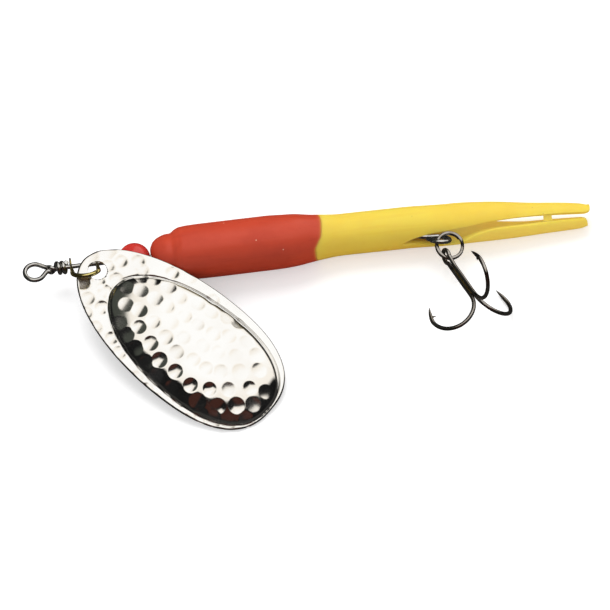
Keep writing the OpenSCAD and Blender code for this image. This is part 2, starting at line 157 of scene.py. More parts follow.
class SpinnerColours(bpy.types.PropertyGroup):
    tube_red: FloatVectorProperty(name="Tube red", description="Colour of the tube's head",
                                  subtype="COLOR", size=3, default=(0.60, 0.064, 0.027))
    tube_yellow: FloatVectorProperty(name="Tube yellow", description="Colour of the tube's tail",
                                     subtype="COLOR", size=3, default=(0.98, 0.70, 0.092))
    bead_red: FloatVectorProperty(name="Bead red", description="Colour of the bead",
                                  subtype="COLOR", size=3, default=(0.66, 0.045, 0.035))
    brass: FloatVectorProperty(name="Brass", description="Colour of the clevis",
                               subtype="COLOR", size=3, default=(0.80, 0.68, 0.26))
    silver: FloatVectorProperty(name="Silver", description="Colour of the blade's plate",
                                subtype="COLOR", size=3, default=(0.95, 0.94, 0.92))
    steel: FloatVectorProperty(name="Steel", description="Colour of the shaft wire",
                               subtype="COLOR", size=3, default=(0.70, 0.69, 0.67))
    dark_nickel: FloatVectorProperty(name="Dark nickel", description="Colour of the ring and the hooks",
                                     subtype="COLOR", size=3, default=(0.46, 0.43, 0.40))
    braze: FloatVectorProperty(name="Braze", description="Colour of the braze between the shanks",
                               subtype="COLOR", size=3, default=(0.66, 0.46, 0.16))


# ---- small sums ----
def unit(v):
    v = np.asarray(v, float)
    return v / np.linalg.norm(v)


def unit_rows(v):
    return v / np.linalg.norm(v, axis=1)[:, None]


def turn_matrix(degrees):
    return np.array(Euler([math.radians(a) for a in degrees], "XYZ").to_matrix())


def eased(u):
    u = np.clip(u, 0, 1)
    return u * u * (3 - 2 * u)


def mix(a, b, u):
    return a + (b - a) * u


def eased_table(table, x):
    """A value from [station, value] pairs, eased from each to the next."""
    x = np.asarray(x, float)
    value = np.full(x.shape, float(table[0][1]))
    for (x0, v0), (x1, v1) in zip(table, table[1:]):
        value = np.where(x > x0, mix(v0, v1, eased((x - x0) / (x1 - x0))), value)
    return value


def curved_table(table, x):
    """A smooth curve through [station, value] pairs that doesn't swing past them."""
    xs, ys = np.array(table, float).T
    slope = np.diff(ys) / np.diff(xs)
    tangent = np.zeros(len(xs))
    for i in range(1, len(xs) - 1):
        if slope[i - 1] * slope[i] > 0:
            tangent[i] = 2 * slope[i - 1] * slope[i] / (slope[i - 1] + slope[i])
    tangent[0], tangent[-1] = slope[0], slope[-1]
    x = np.clip(np.asarray(x, float), xs[0], xs[-1])
    i = np.clip(np.searchsorted(xs, x, side="right") - 1, 0, len(xs) - 2)
    w = xs[i + 1] - xs[i]
    u = (x - xs[i]) / w
    return ((2 * u**3 - 3 * u**2 + 1) * ys[i] + (u**3 - 2 * u**2 + u) * w * tangent[i]
            + (3 * u**2 - 2 * u**3) * ys[i + 1] + (u**3 - u**2) * w * tangent[i + 1])


def ripple(x, y, seed, size, waves=7):
    """Gentle unevenness between about -1 and 1, with features of the given size."""
    rng = np.random.default_rng(seed)
    total = 0
    for _ in range(waves):
        angle, phase = rng.uniform(0, 2 * math.pi, 2)
        pitch = size * rng.uniform(0.7, 1.8)
        total = total + np.sin(2 * math.pi * (x * math.cos(angle) + y * math.sin(angle)) / pitch + phase)
    return total / waves


def flowing(points, radii, steps=5):
    """A finer path through the same points, without corners, and its radii."""
    p, r = np.asarray(points, float), np.asarray(radii, float)
    q = np.vstack([2 * p[0] - p[1], p, 2 * p[-1] - p[-2]])
    path, size = [], []
    for i in range(len(p) - 1):
        a, b, c, d = q[i:i + 4]
        ab, bc, cd = (max(np.linalg.norm(v), 1e-6) ** 0.5 for v in (b - a, c - b, d - c))
        m1 = (c - b) + bc * ((b - a) / ab - (c - a) / (ab + bc))
        m2 = (c - b) + bc * ((d - c) / cd - (d - b) / (bc + cd))
        for k in range(steps):
            u = k / steps
            path.append((2 * u**3 - 3 * u**2 + 1) * b + (u**3 - 2 * u**2 + u) * m1
                        + (3 * u**2 - 2 * u**3) * c + (u**3 - u**2) * m2)
            size.append(mix(r[i], r[i + 1], u))
    return np.array(path + [p[-1]]), np.array(size + [r[-1]])


# ---- meshes ----
SHARP_ANGLE = math.radians(45)
LIP_ROUNDING = 0.17


def link(obj):
    bpy.context.scene.collection.objects.link(obj)
    return obj


def solid(name, points, faces, material, merge=0.0, round_edges=None):
    """A smooth-shaded piece from points in mm. round_edges(edge) picks the sharp edges to round."""
    mesh = bpy.data.meshes.new(name)
    mesh.from_pydata([tuple(p) for p in np.asarray(points, float)], [], faces)
    bm = bmesh.new()
    bm.from_mesh(mesh)
    if merge:
        bmesh.ops.remove_doubles(bm, verts=bm.verts, dist=merge)
    bmesh.ops.recalc_face_normals(bm, faces=bm.faces)
    if round_edges:
        sharp = [e for e in bm.edges if len(e.link_faces) == 2 and e.calc_face_angle(0) > SHARP_ANGLE
                 and round_edges(e)]
        bmesh.ops.bevel(bm, geom=sharp, offset=LIP_ROUNDING, segments=3, profile=0.5, affect="EDGES",
                        clamp_overlap=True)
    for v in bm.verts:
        v.co *= MM
    for f in bm.faces:
        f.smooth = True
    bm.to_mesh(mesh)
    bm.free()
    mesh.materials.append(material)
    return link(bpy.data.objects.new(name, mesh))


def grid_faces(rows, columns, start=0, closed=True, flip=False):
    """Four-sided faces between rows of points, closed round on themselves or open."""
    faces = []
    for i in range(rows - 1):
        for k in range(columns if closed else columns - 1):
            a, b = start + i * columns + k, start + i * columns + (k + 1) % columns
            face = (a, b, b + columns, a + columns)
            faces.append(face[::-1] if flip else face)
    return faces


def join(objects, name):
    """One piece from several."""
    bm = bmesh.new()
    for o in objects:
        bm.from_mesh(o.data)
    first = objects[0]
    bm.to_mesh(first.data)
    bm.free()
    for o in objects[1:]:
        bpy.data.objects.remove(o)
    first.name = name
    return first


def loft(name, sections, material):
    """A closed skin over sections of equal length, with flat ends."""
    rows, columns = len(sections), len(sections[0])
    points = np.concatenate(sections)
    faces = grid_faces(rows, columns)
    faces.append(tuple(range(columns))[::-1])
    faces.append(tuple(range((rows - 1) * columns, rows * columns)))
    return solid(name, points, faces, material)


def lathe(name, profile, material, place, sides=96):
    """A closed ring from a closed profile of (along X, radius), turned round the X axis."""
    a = np.linspace(0, 2 * math.pi, sides, endpoint=False)
    points = [(x + place, r * math.cos(t), r * math.sin(t)) for t in a for x, r in profile]
    n = len(profile)
    faces = []
    for i in range(sides):
        for k in range(n):
            a0, a1 = i * n + k, i * n + (k + 1) % n
            b0, b1 = (a0 + n) % (n * sides), (a1 + n) % (n * sides)
            faces.append((a0, b0, b1, a1))
    return solid(name, points, faces, material)


def path_frames(path, side):
    """For each point: the way along the path, and two directions across it that don't twist."""
    along = np.gradient(path, axis=0)
    along /= np.linalg.norm(along, axis=1)[:, None]
    u = np.asarray(side, float)
    frames = []
    for t in along:
        u = unit(u - (u @ t) * t)
        frames.append((t, u, np.cross(t, u)))
    return frames


# ---- geometry nodes: a wire that follows a path ----
def wire_tree():
    """Curve from a path of edges, swept with a circle whose radius is the path's own thickness."""
    name = "wire_along_path"
    if name in bpy.data.node_groups:
        return bpy.data.node_groups[name]
    tree = bpy.data.node_groups.new(name, "GeometryNodeTree")
    sockets = tree.interface
    sockets.new_socket("Path", in_out="INPUT", socket_type="NodeSocketGeometry")
    sides = sockets.new_socket("Sides", in_out="INPUT", socket_type="NodeSocketInt")
    sides.default_value = 20
    sides.min_value = 6
    sockets.new_socket("Thickness factor", in_out="INPUT", socket_type="NodeSocketFloat").default_value = 1.0
    sockets.new_socket("Finish", in_out="INPUT", socket_type="NodeSocketMaterial")
    sockets.new_socket("Wire", in_out="OUTPUT", socket_type="NodeSocketGeometry")
    nodes, links = tree.nodes, tree.links
    given, out = nodes.new("NodeGroupInput"), nodes.new("NodeGroupOutput")
    thickness = nodes.new("GeometryNodeInputNamedAttribute")
    thickness.data_type = "FLOAT"
    thickness.inputs["Name"].default_value = "thickness"
    scaled = nodes.new("ShaderNodeMath")
    scaled.operation = "MULTIPLY"
    curve = nodes.new("GeometryNodeMeshToCurve")
    circle = nodes.new("GeometryNodeCurvePrimitiveCircle")
    circle.inputs["Radius"].default_value = 1.0
    sweep = nodes.new("GeometryNodeCurveToMesh")
    sweep.inputs["Fill Caps"].default_value = True
    smooth = nodes.new("GeometryNodeSetShadeSmooth")
    real = nodes.new("GeometryNodeRealizeInstances")
    finish = nodes.new("GeometryNodeSetMaterial")
    for source, output, target, socket in (
            (given, "Path", curve, "Mesh"), (given, "Sides", circle, "Resolution"),
            (thickness, "Attribute", scaled, 0), (given, "Thickness factor", scaled, 1),
            (curve, "Curve", sweep, "Curve"), (circle, "Curve", sweep, "Profile Curve"),
            (scaled, 0, sweep, "Scale"), (sweep, "Mesh", smooth, "Geometry"),
            (smooth, "Geometry", real, "Geometry"), (real, "Geometry", finish, "Geometry"),
            (given, "Finish", finish, "Material"), (finish, "Geometry", out, "Wire")):
        links.new(source.outputs[output], target.inputs[socket])
    return tree


def wire(name, path, radii, material, sides=20):
    """A round wire along a path in mm, as a plain mesh."""
    tree = wire_tree()
    identifier = {s.name: s.identifier for s in tree.interface.items_tree if s.in_out == "INPUT"}
    mesh = bpy.data.meshes.new(name + "_path")
    mesh.from_pydata([tuple(p * MM) for p in path], [(i, i + 1) for i in range(len(path) - 1)], [])
    mesh.attributes.new("thickness", "FLOAT", "POINT").data.foreach_set("value", np.asarray(radii) * MM)
    guide = link(bpy.data.objects.new(name + "_path", mesh))
    modifier = guide.modifiers.new("wire", "NODES")
    modifier.node_group = tree
    modifier[identifier["Sides"]] = sides
    modifier[identifier["Thickness factor"]] = 1.0
    modifier[identifier["Finish"]] = material
    swept = bpy.data.meshes.new_from_object(guide.evaluated_get(bpy.context.evaluated_depsgraph_get()))
    guide.modifiers.remove(modifier)
    bpy.data.objects.remove(guide)
    bm = bmesh.new()
    bm.from_mesh(swept)
    bmesh.ops.recalc_face_normals(bm, faces=bm.faces)
    bm.to_mesh(swept)
    bm.free()
    if "thickness" in swept.attributes:
        swept.attributes.remove(swept.attributes["thickness"])
    return link(bpy.data.objects.new(name, swept))


# ---- shader groups ----
def shader_group(name, inputs, outputs):
    group = bpy.data.node_groups.new(name, "ShaderNodeTree")
    for label, kind, value in inputs:
        socket = group.interface.new_socket(label, in_out="INPUT", socket_type=kind)
        socket.default_value = value
    for label, kind in outputs:
        group.interface.new_socket(label, in_out="OUTPUT", socket_type=kind)
    return group, group.nodes.new("NodeGroupInput"), group.nodes.new("NodeGroupOutput")


def noise(nodes, links, vector, scale, detail=3.0, roughness=0.55):
    node = nodes.new("ShaderNodeTexNoise")
    node.inputs["Detail"].default_value = detail
    node.inputs["Roughness"].default_value = roughness
    if isinstance(scale, (int, float)):
        node.inputs["Scale"].default_value = scale
    else:
        links.new(scale, node.inputs["Scale"])
    links.new(vector, node.inputs["Vector"])
    return node


def ramp(nodes, links, value, low, high, a=0.0, b=1.0):
    node = nodes.new("ShaderNodeMapRange")
    node.inputs["From Min"].default_value = low
    node.inputs["From Max"].default_value = high
    node.inputs["To Min"].default_value = a
    node.inputs["To Max"].default_value = b
    node.interpolation_type = "SMOOTHSTEP"
    links.new(value, node.inputs["Value"])
    return node.outputs["Result"]


def blend_colours(nodes, links, factor, a, b, mode="MIX"):
    node = nodes.new("ShaderNodeMix")
    node.data_type = "RGBA"
    node.blend_type = mode
    node.clamp_result = False
    for value, socket in ((factor, 0), (a, 6), (b, 7)):
        if isinstance(value, (int, float)):
            node.inputs[socket].default_value = value
        elif isinstance(value, tuple):
            node.inputs[socket].default_value = (*value[:3], 1.0)
        else:
            links.new(value, node.inputs[socket])
    return node.outputs[2]


def maths(nodes, links, operation, a, b):
    node = nodes.new("ShaderNodeMath")
    node.operation = operation
    for i, value in enumerate((a, b)):
        if isinstance(value, (int, float)):
            node.inputs[i].default_value = value
        else:
            links.new(value, node.inputs[i])
    return node.outputs[0]


def handled_metal():
    """Smudges, tarnish in patches and fine pits, for every metal."""
    name = "handled_metal"
    if name in bpy.data.node_groups:
        return bpy.data.node_groups[name]
    group, given, out = shader_group(name, [
        ("Colour", "NodeSocketColor", (0.8, 0.8, 0.8, 1)),
        ("Tarnish", "NodeSocketColor", (0.3, 0.25, 0.2, 1)),
        ("Tarnish amount", "NodeSocketFloat", 0.3), ("Roughness", "NodeSocketFloat", 0.2),
        ("Patch scale", "NodeSocketFloat", 400.0)],
        [("Colour", "NodeSocketColor"), ("Roughness", "NodeSocketFloat"), ("Height", "NodeSocketFloat")])
    nodes, links = group.nodes, group.links
    place = nodes.new("ShaderNodeTexCoord").outputs["Object"]
    patches = noise(nodes, links, place, given.outputs["Patch scale"], 4.0)
    fine = noise(nodes, links, place, 5200.0, 2.0)
    mask = ramp(nodes, links, patches.outputs["Fac"], 0.42, 0.72)
    amount = maths(nodes, links, "MULTIPLY", mask, given.outputs["Tarnish amount"])
    colour = blend_colours(nodes, links, amount, given.outputs["Colour"], given.outputs["Tarnish"])
    rough = maths(nodes, links, "ADD", given.outputs["Roughness"],
                  ramp(nodes, links, patches.outputs["Fac"], 0.3, 0.75, -0.03, 0.07))
    links.new(colour, out.inputs["Colour"])
    links.new(rough, out.inputs["Roughness"])
    links.new(fine.outputs["Fac"], out.inputs["Height"])
    return group


def soft_plastic():
    """Faint clouds of colour, mould lines along the tube, dust and a fine skin, for the soft tube."""
    name = "soft_plastic"
    if name in bpy.data.node_groups:
        return bpy.data.node_groups[name]
    group, given, out = shader_group(name, [
        ("Colour", "NodeSocketColor", (0.8, 0.2, 0.1, 1)),
        ("Deep colour", "NodeSocketColor", (0.6, 0.1, 0.05, 1)),
        ("Dust colour", "NodeSocketColor", (0.9, 0.8, 0.7, 1)), ("Dust", "NodeSocketFloat", 1.0),
        ("Roughness", "NodeSocketFloat", 0.45)],
        [("Colour", "NodeSocketColor"), ("Roughness", "NodeSocketFloat"), ("Height", "NodeSocketFloat")])
    nodes, links = group.nodes, group.links
    place = nodes.new("ShaderNodeTexCoord").outputs["Object"]
    clouds = noise(nodes, links, place, 150.0, 3.0)
    stretch = nodes.new("ShaderNodeMapping")
    stretch.inputs["Scale"].default_value = (0.035, 1.0, 1.0)
    links.new(place, stretch.inputs["Vector"])
    lines = noise(nodes, links, stretch.outputs["Vector"], 1500.0, 2.0)
    skin = noise(nodes, links, place, 3800.0, 3.0, 0.6)
    cells = nodes.new("ShaderNodeTexVoronoi")
    cells.inputs["Scale"].default_value = 300.0
    links.new(place, cells.inputs["Vector"])
    dust = maths(nodes, links, "MULTIPLY", ramp(nodes, links, cells.outputs["Distance"], 0.045, 0.02),
                 given.outputs["Dust"])
    colour = blend_colours(nodes, links, ramp(nodes, links, clouds.outputs["Fac"], 0.35, 0.7, 0.0, 0.55),
                           given.outputs["Colour"], given.outputs["Deep colour"])
    colour = blend_colours(nodes, links, ramp(nodes, links, lines.outputs["Fac"], 0.54, 0.72, 0.0, 0.35),
                           colour, given.outputs["Deep colour"])
    colour = blend_colours(nodes, links, dust, colour, given.outputs["Dust colour"])
    rough = maths(nodes, links, "ADD", given.outputs["Roughness"],
                  ramp(nodes, links, clouds.outputs["Fac"], 0.3, 0.7, -0.05, 0.06))
    height = maths(nodes, links, "ADD", maths(nodes, links, "MULTIPLY", lines.outputs["Fac"], 0.5),
                   maths(nodes, links, "MULTIPLY", skin.outputs["Fac"], 0.3))
    links.new(colour, out.inputs["Colour"])
    links.new(rough, out.inputs["Roughness"])
    links.new(height, out.inputs["Height"])
    return group


# strength of the painted glow that stands in for light shining through the tube's thin walls
PAINTED_GLOW_STRENGTH = 0.17


def placed_group(nodes, group, **sockets):
    """A shader group in a material, with its own values for the named inputs."""
    node = nodes.new("ShaderNodeGroup")
    node.node_tree = group
    for label, value in sockets.items():
        value = (*value[:3], 1) if hasattr(value, "__len__") else value
        node.inputs[label.replace("_", " ")].default_value = value
    return node


def painted(nodes, name):
    """The value that a piece carries in one of its own attributes."""
    node = nodes.new("ShaderNodeAttribute")
    node.attribute_name = name
    return node.outputs["Fac"]


def new_material(name, **sockets):
    """A material with a Principled BSDF whose even values are set on its own sockets."""
    material = bpy.data.materials.new(name)
    material.use_nodes = True
    shader = material.node_tree.nodes["Principled BSDF"]
    for label, value in sockets.items():
        shader.inputs[label.replace("_", " ")].default_value = value
    return material, shader


def bumped(material, shader, height, distance, strength):
    nodes, links = material.node_tree.nodes, material.node_tree.links
    bump = nodes.new("ShaderNodeBump")
    bump.inputs["Distance"].default_value = distance
    bump.inputs["Strength"].default_value = strength
    links.new(height, bump.inputs["Height"])
    links.new(bump.outputs["Normal"], shader.inputs["Normal"])


def metal(name, colour, tarnish, amount, roughness, patch=400.0, bump=0.15):
    """A plated or bare metal, with the given amount of tarnish in patches."""
    if name in bpy.data.materials:
        return bpy.data.materials[name]
    material, shader = new_material(name, Metallic=1.0)
    nodes, links = material.node_tree.nodes, material.node_tree.links
    group = placed_group(nodes, handled_metal(), Colour=colour, Tarnish=tarnish, Tarnish_amount=amount,
                         Roughness=roughness, Patch_scale=patch)
    links.new(group.outputs["Colour"], shader.inputs["Base Color"])
    links.new(group.outputs["Roughness"], shader.inputs["Roughness"])
    bumped(material, shader, group.outputs["Height"], 0.00002, bump)
    return material


def soft_skin(name, colour, deep, dust, amount, roughness, scatter, reach, border_colour, through=None):
    """The tube's plastic. Light scatters in it as far as reach; through is the colour of a painted glow in its
    thin walls, standing in for light that shines through them.
    """
    if name in bpy.data.materials:
        return bpy.data.materials[name]
    material, shader = new_material(name, Subsurface_Weight=scatter, Subsurface_Scale=reach, IOR=1.45,
                                    Subsurface_Radius=(1.0, 1.0, 0.4), Specular_IOR_Level=0.5)
    nodes, links = material.node_tree.nodes, material.node_tree.links
    group = placed_group(nodes, soft_plastic(), Colour=colour, Deep_colour=deep, Dust_colour=dust,
                         Dust=amount, Roughness=roughness)
    links.new(blend_colours(nodes, links, painted(nodes, "bleed"), group.outputs["Colour"], border_colour),
              shader.inputs["Base Color"])
    links.new(group.outputs["Roughness"], shader.inputs["Roughness"])
    # painted glow: an emission, masked per point, stands in for light shining through the thin walls
    if through:
        shader.inputs["Emission Color"].default_value = (*through, 1)
        links.new(maths(nodes, links, "MULTIPLY", painted(nodes, "painted_wall_glow"), PAINTED_GLOW_STRENGTH),
                  shader.inputs["Emission Strength"])
    bumped(material, shader, group.outputs["Height"], 0.00004, 0.3)
    return material


def colours():
    return bpy.context.scene.spinner_colours


def sizes():
    """The sizes that a user can change, in mm."""
    group = bpy.context.scene.spinner_sizes
    return {name: getattr(group, name) / MM for name in SpinnerSizes.__annotations__}


def steel_finish():
    return metal("bright_steel_wire", colours().steel, (0.22, 0.19, 0.16), 0.35, 0.16, 700.0)


def nickel_finish():
    return metal("dark_nickel_plate", colours().dark_nickel, (0.16, 0.11, 0.04), 0.45, 0.10, 420.0)


def brass_finish():
    return metal("brass_wire", colours().brass, (0.20, 0.14, 0.05), 0.5, 0.18, 500.0)


# ---- the tube's shape: stations are in mm behind the nose, angles in degrees from +Y towards +Z ----
BARREL = 5.1
BARREL_END = 14
TIP_START = 80.4
# [station, outer radius], then [station, drift to the side]
TUBE_RADII = [[0, 1.6], [0.45, 2.55], [1.0, 3.08], [1.6, 3.45], [3, 3.9], [3.8, 3.95], [4.8, 4.55],
              [5.8, 4.92], [7.5, 5.05], [10, 5.1], [21.5, 5.1], [26.5, 4.9], [31, 4.3], [36, 3.9], [56, 3.9],
              [63, 3.7], [72, 3.0], [80.4, 2.35], [81.9, 1.95]]
TUBE_DRIFT = [[24, 0], [36, 0.6], [47, 0.45], [57, 0], [72, -0.4], [81.9, -0.55]]
SLIT_START, SLIT_ANGLE = 46.4, 170.0
# The far slit's half width in degrees grows to its widest over FAR_OPENS
FAR_START, FAR_ANGLE, FAR_OPENS = 65.0, -61.0, 5.5
FAR_WIDEST = math.degrees(math.asin(1.05 / 4.7))
# [station, angle] of the near slit's upper and lower lip
NEAR_UPPER = [[SLIT_START, SLIT_ANGLE], [49, 154], [52.2, 142.5], [55.9, 135], [59.7, 129], [65.3, 117.5],
              [73.3, 107], [82, 103]]
NEAR_LOWER = [[SLIT_START, SLIT_ANGLE], [49.5, 177], [53, 187], [55.5, 186.5], [58.9, 168.5], [61.7, 153],
              [64.3, 145], [72.4, 139], [82, 133]]


def tube_radius(s):
    return curved_table(TUBE_RADII, s)


def tube_centre(s):
    """Sideways drift and sag: behind its barrel the slack tube sinks until it rests on the table."""
    rest = np.where(s < BARREL_END, 0.0, tube_radius(np.minimum(s, TIP_START)) - BARREL)
    return eased_table(TUBE_DRIFT, s), rest


def tube_points(s, degrees, radius):
    """Points round the tube; s in mm behind the nose, degrees from +Y towards +Z, radius in mm."""
    y, z = tube_centre(s)
    a = np.radians(degrees)
    return np.stack([NOSE_X + s, y + radius * np.cos(a), z + radius * np.sin(a)], -1)


# [degrees round the tube, mm along the lure]
COLOUR_EDGE = [[-60, 53.2], [30, 53.59], [70, 53.84], [117, 53.44], [132, 52.81], [152, 52.12], [187, 52.34],
               [240, 53.0], [300, 53.2]]


def border(degrees):
    """The uneven edge where the red ends, in mm behind the nose."""
    return curved_table(COLOUR_EDGE, (np.asarray(degrees, float) + 60) % 360 - 60) - NOSE_X


# ---- operators, one for each piece or group ----
class SPINNER_OT_stage(bpy.types.Operator):
    """Set the camera, the pale floor and the soft studio light"""
    bl_idname = "spinner.stage"
    bl_label = "Stage"

    # in metres: the floor's half width and how far it lies under the lure, and the camera's far clip
    FLOOR, FLOOR_DROP, FAR_CLIP = 4, 0.00005, 20
    # the lamp: width and distance in metres, power in watts, and the way to it
    LAMP_SIZE, LAMP_AWAY, LAMP_POWER, LAMP_WAY = 0.55, 0.8, 3.4, (-0.10, 0.55, 0.85)
    # the floor's colour, the one it throws back at the lure, the one that metal sees, and its own glow
    FLOOR_COLOUR, BOUNCE_COLOUR = (0.82, 0.82, 0.82), (0.80, 0.58, 0.40)
    MIRRORED_FLOOR, FLOOR_GLOW = (0.035, 0.034, 0.032), 0.45
    # the window that metal sees: the sides that close it, each a direction and where along it the glass ends
    WINDOW_SIDES = (((0.81, -0.59, 0), -0.37), ((0.7, 0.7, 0), -0.46), ((0, 1, 0), -0.37),
                    ((-0.72, 0.69, 0), -0.55), ((0, 0, 1), 0.18))
    WINDOW_EDGE, WINDOW_GLASS = (0.98, 0.93, 0.85), (1.05, 1.05, 1.04)
    DARK_ROOM, BROWN_PATCH, GREY_PATCH = (0.008, 0.008, 0.008), (0.048, 0.016, 0.011), (0.055, 0.060, 0.050)
    BROWN_WAY, GREY_WAY = (0, -0.82, 0.57), (-0.50, 0.35, 0.79)
    PLAIN_LIGHT, BACKDROP = (0.65, 0.65, 0.65), (1.0, 1.0, 1.0)

    def execute(self, context):
        self.camera(context.scene)
        self.floor()
        self.lamp()
        self.world(context.scene)
        return {"FINISHED"}

    def camera(self, scene):
        data = bpy.data.cameras.new("camera")
        data.lens = CAMERA_LENS
        data.sensor_width = CAMERA_SENSOR
        data.sensor_fit = "AUTO"
        data.clip_end = self.FAR_CLIP
        camera = link(bpy.data.objects.new("camera", data))
        azimuth, elevation = math.radians(CAMERA_AZIMUTH), math.radians(CAMERA_ELEVATION)
        back = Vector((math.sin(azimuth) * math.cos(elevation), -math.cos(azimuth) * math.cos(elevation),
                       math.sin(elevation)))
        distance = CAMERA_SEES * CAMERA_LENS / CAMERA_SENSOR
        camera.location = (Vector(CAMERA_AIM) + back * distance) * MM
        camera.rotation_euler = back.to_track_quat("Z", "Y").to_euler()
        scene.camera = camera
        scene.view_settings.view_transform = "Standard"

    def floor(self):
        low, wide = CAD_BOX[0][2] - self.FLOOR_DROP, self.FLOOR
        corners = [(-wide, -wide, low), (wide, -wide, low), (wide, wide, low), (-wide, wide, low)]
        mesh = bpy.data.meshes.new("floor")
        mesh.from_pydata(corners, [], [(0, 1, 2, 3)])
        mesh.materials.append(self.floor_material())
        link(bpy.data.objects.new("floor", mesh))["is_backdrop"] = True

    def lamp(self):
        lamp = bpy.data.lights.new("soft_box", "AREA")
        lamp.shape = "DISK"
        lamp.size = self.LAMP_SIZE
        lamp.energy = self.LAMP_POWER
        box = link(bpy.data.objects.new("soft_box", lamp))
        way = Vector(self.LAMP_WAY).normalized()
        box.location = Vector(CAMERA_AIM) * MM + way * self.LAMP_AWAY
        box.rotation_euler = way.to_track_quat("Z", "Y").to_euler()
        box.visible_glossy = False

    def floor_material(self):
        """White with the object's shadow to the camera; a dark table to the metal's reflections."""
        material, shader = new_material("floor", Roughness=0.9, Specular_IOR_Level=0.1)
        nodes, links = material.node_tree.nodes, material.node_tree.links
        glow = nodes.new("ShaderNodeEmission")
        glow.inputs["Color"].default_value = (1, 1, 1, 1)
        path = nodes.new("ShaderNodeLightPath")
        links.new(blend_colours(nodes, links, path.outputs["Is Diffuse Ray"], self.FLOOR_COLOUR,
                                self.BOUNCE_COLOUR), shader.inputs["Base Color"])
        seen = maths(nodes, links, "MAXIMUM", path.outputs["Is Camera Ray"],
                     path.outputs["Is Transmission Ray"])
        links.new(maths(nodes, links, "MULTIPLY", seen, self.FLOOR_GLOW), glow.inputs["Strength"])
        both = nodes.new("ShaderNodeAddShader")
        links.new(shader.outputs[0], both.inputs[0])
        links.new(glow.outputs[0], both.inputs[1])
        mirrored = nodes.new("ShaderNodeEmission")
        mirrored.inputs["Color"].default_value = (*self.MIRRORED_FLOOR, 1)
        kind = nodes.new("ShaderNodeMixShader")
        links.new(path.outputs["Is Glossy Ray"], kind.inputs[0])
        links.new(both.outputs[0], kind.inputs[1])
        links.new(mirrored.outputs[0], kind.inputs[2])
        links.new(kind.outputs[0], nodes["Material Output"].inputs["Surface"])
        return material

    def world(self, scene):
        """White to the camera. Metal sees one wide window overhead, cream at its edges, in a dark room."""
        world = bpy.data.worlds.new("studio")
        scene.world = world
        world.use_nodes = True
        nodes, links = world.node_tree.nodes, world.node_tree.links
        nodes.clear()
        way = nodes.new("ShaderNodeTexCoord").outputs["Generated"]

        def towards(direction):
            dot = nodes.new("ShaderNodeVectorMath")
            dot.operation = "DOT_PRODUCT"
            dot.inputs[1].default_value = unit(direction)
            links.new(way, dot.inputs[0])
            return dot.outputs["Value"]

        inside = 1.0
        for direction, edge in self.WINDOW_SIDES:
            past = maths(nodes, links, "SUBTRACT", towards(direction), edge)
            inside = maths(nodes, links, "MINIMUM", inside, past)
        brown = ramp(nodes, links, towards(self.BROWN_WAY), 0.85, 0.93)
        grey = ramp(nodes, links, towards(self.GREY_WAY), 0.77, 0.95)
        edge = ramp(nodes, links, inside, -0.045, 0.045)
        glass = ramp(nodes, links, inside, 0.04, 0.36)
        dark = blend_colours(nodes, links, brown, self.DARK_ROOM, self.BROWN_PATCH)
        dark = blend_colours(nodes, links, grey, dark, self.GREY_PATCH)
        studio = blend_colours(nodes, links, edge, dark, self.WINDOW_EDGE)
        studio = blend_colours(nodes, links, glass, studio, self.WINDOW_GLASS)
        path = nodes.new("ShaderNodeLightPath")
        plain = blend_colours(nodes, links, path.outputs["Is Camera Ray"], self.PLAIN_LIGHT, self.BACKDROP)
        colour = blend_colours(nodes, links, path.outputs["Is Glossy Ray"], plain, studio)
        back = nodes.new("ShaderNodeBackground")
        links.new(colour, back.inputs["Color"])
        out = nodes.new("ShaderNodeOutputWorld")
        links.new(back.outputs[0], out.inputs["Surface"])


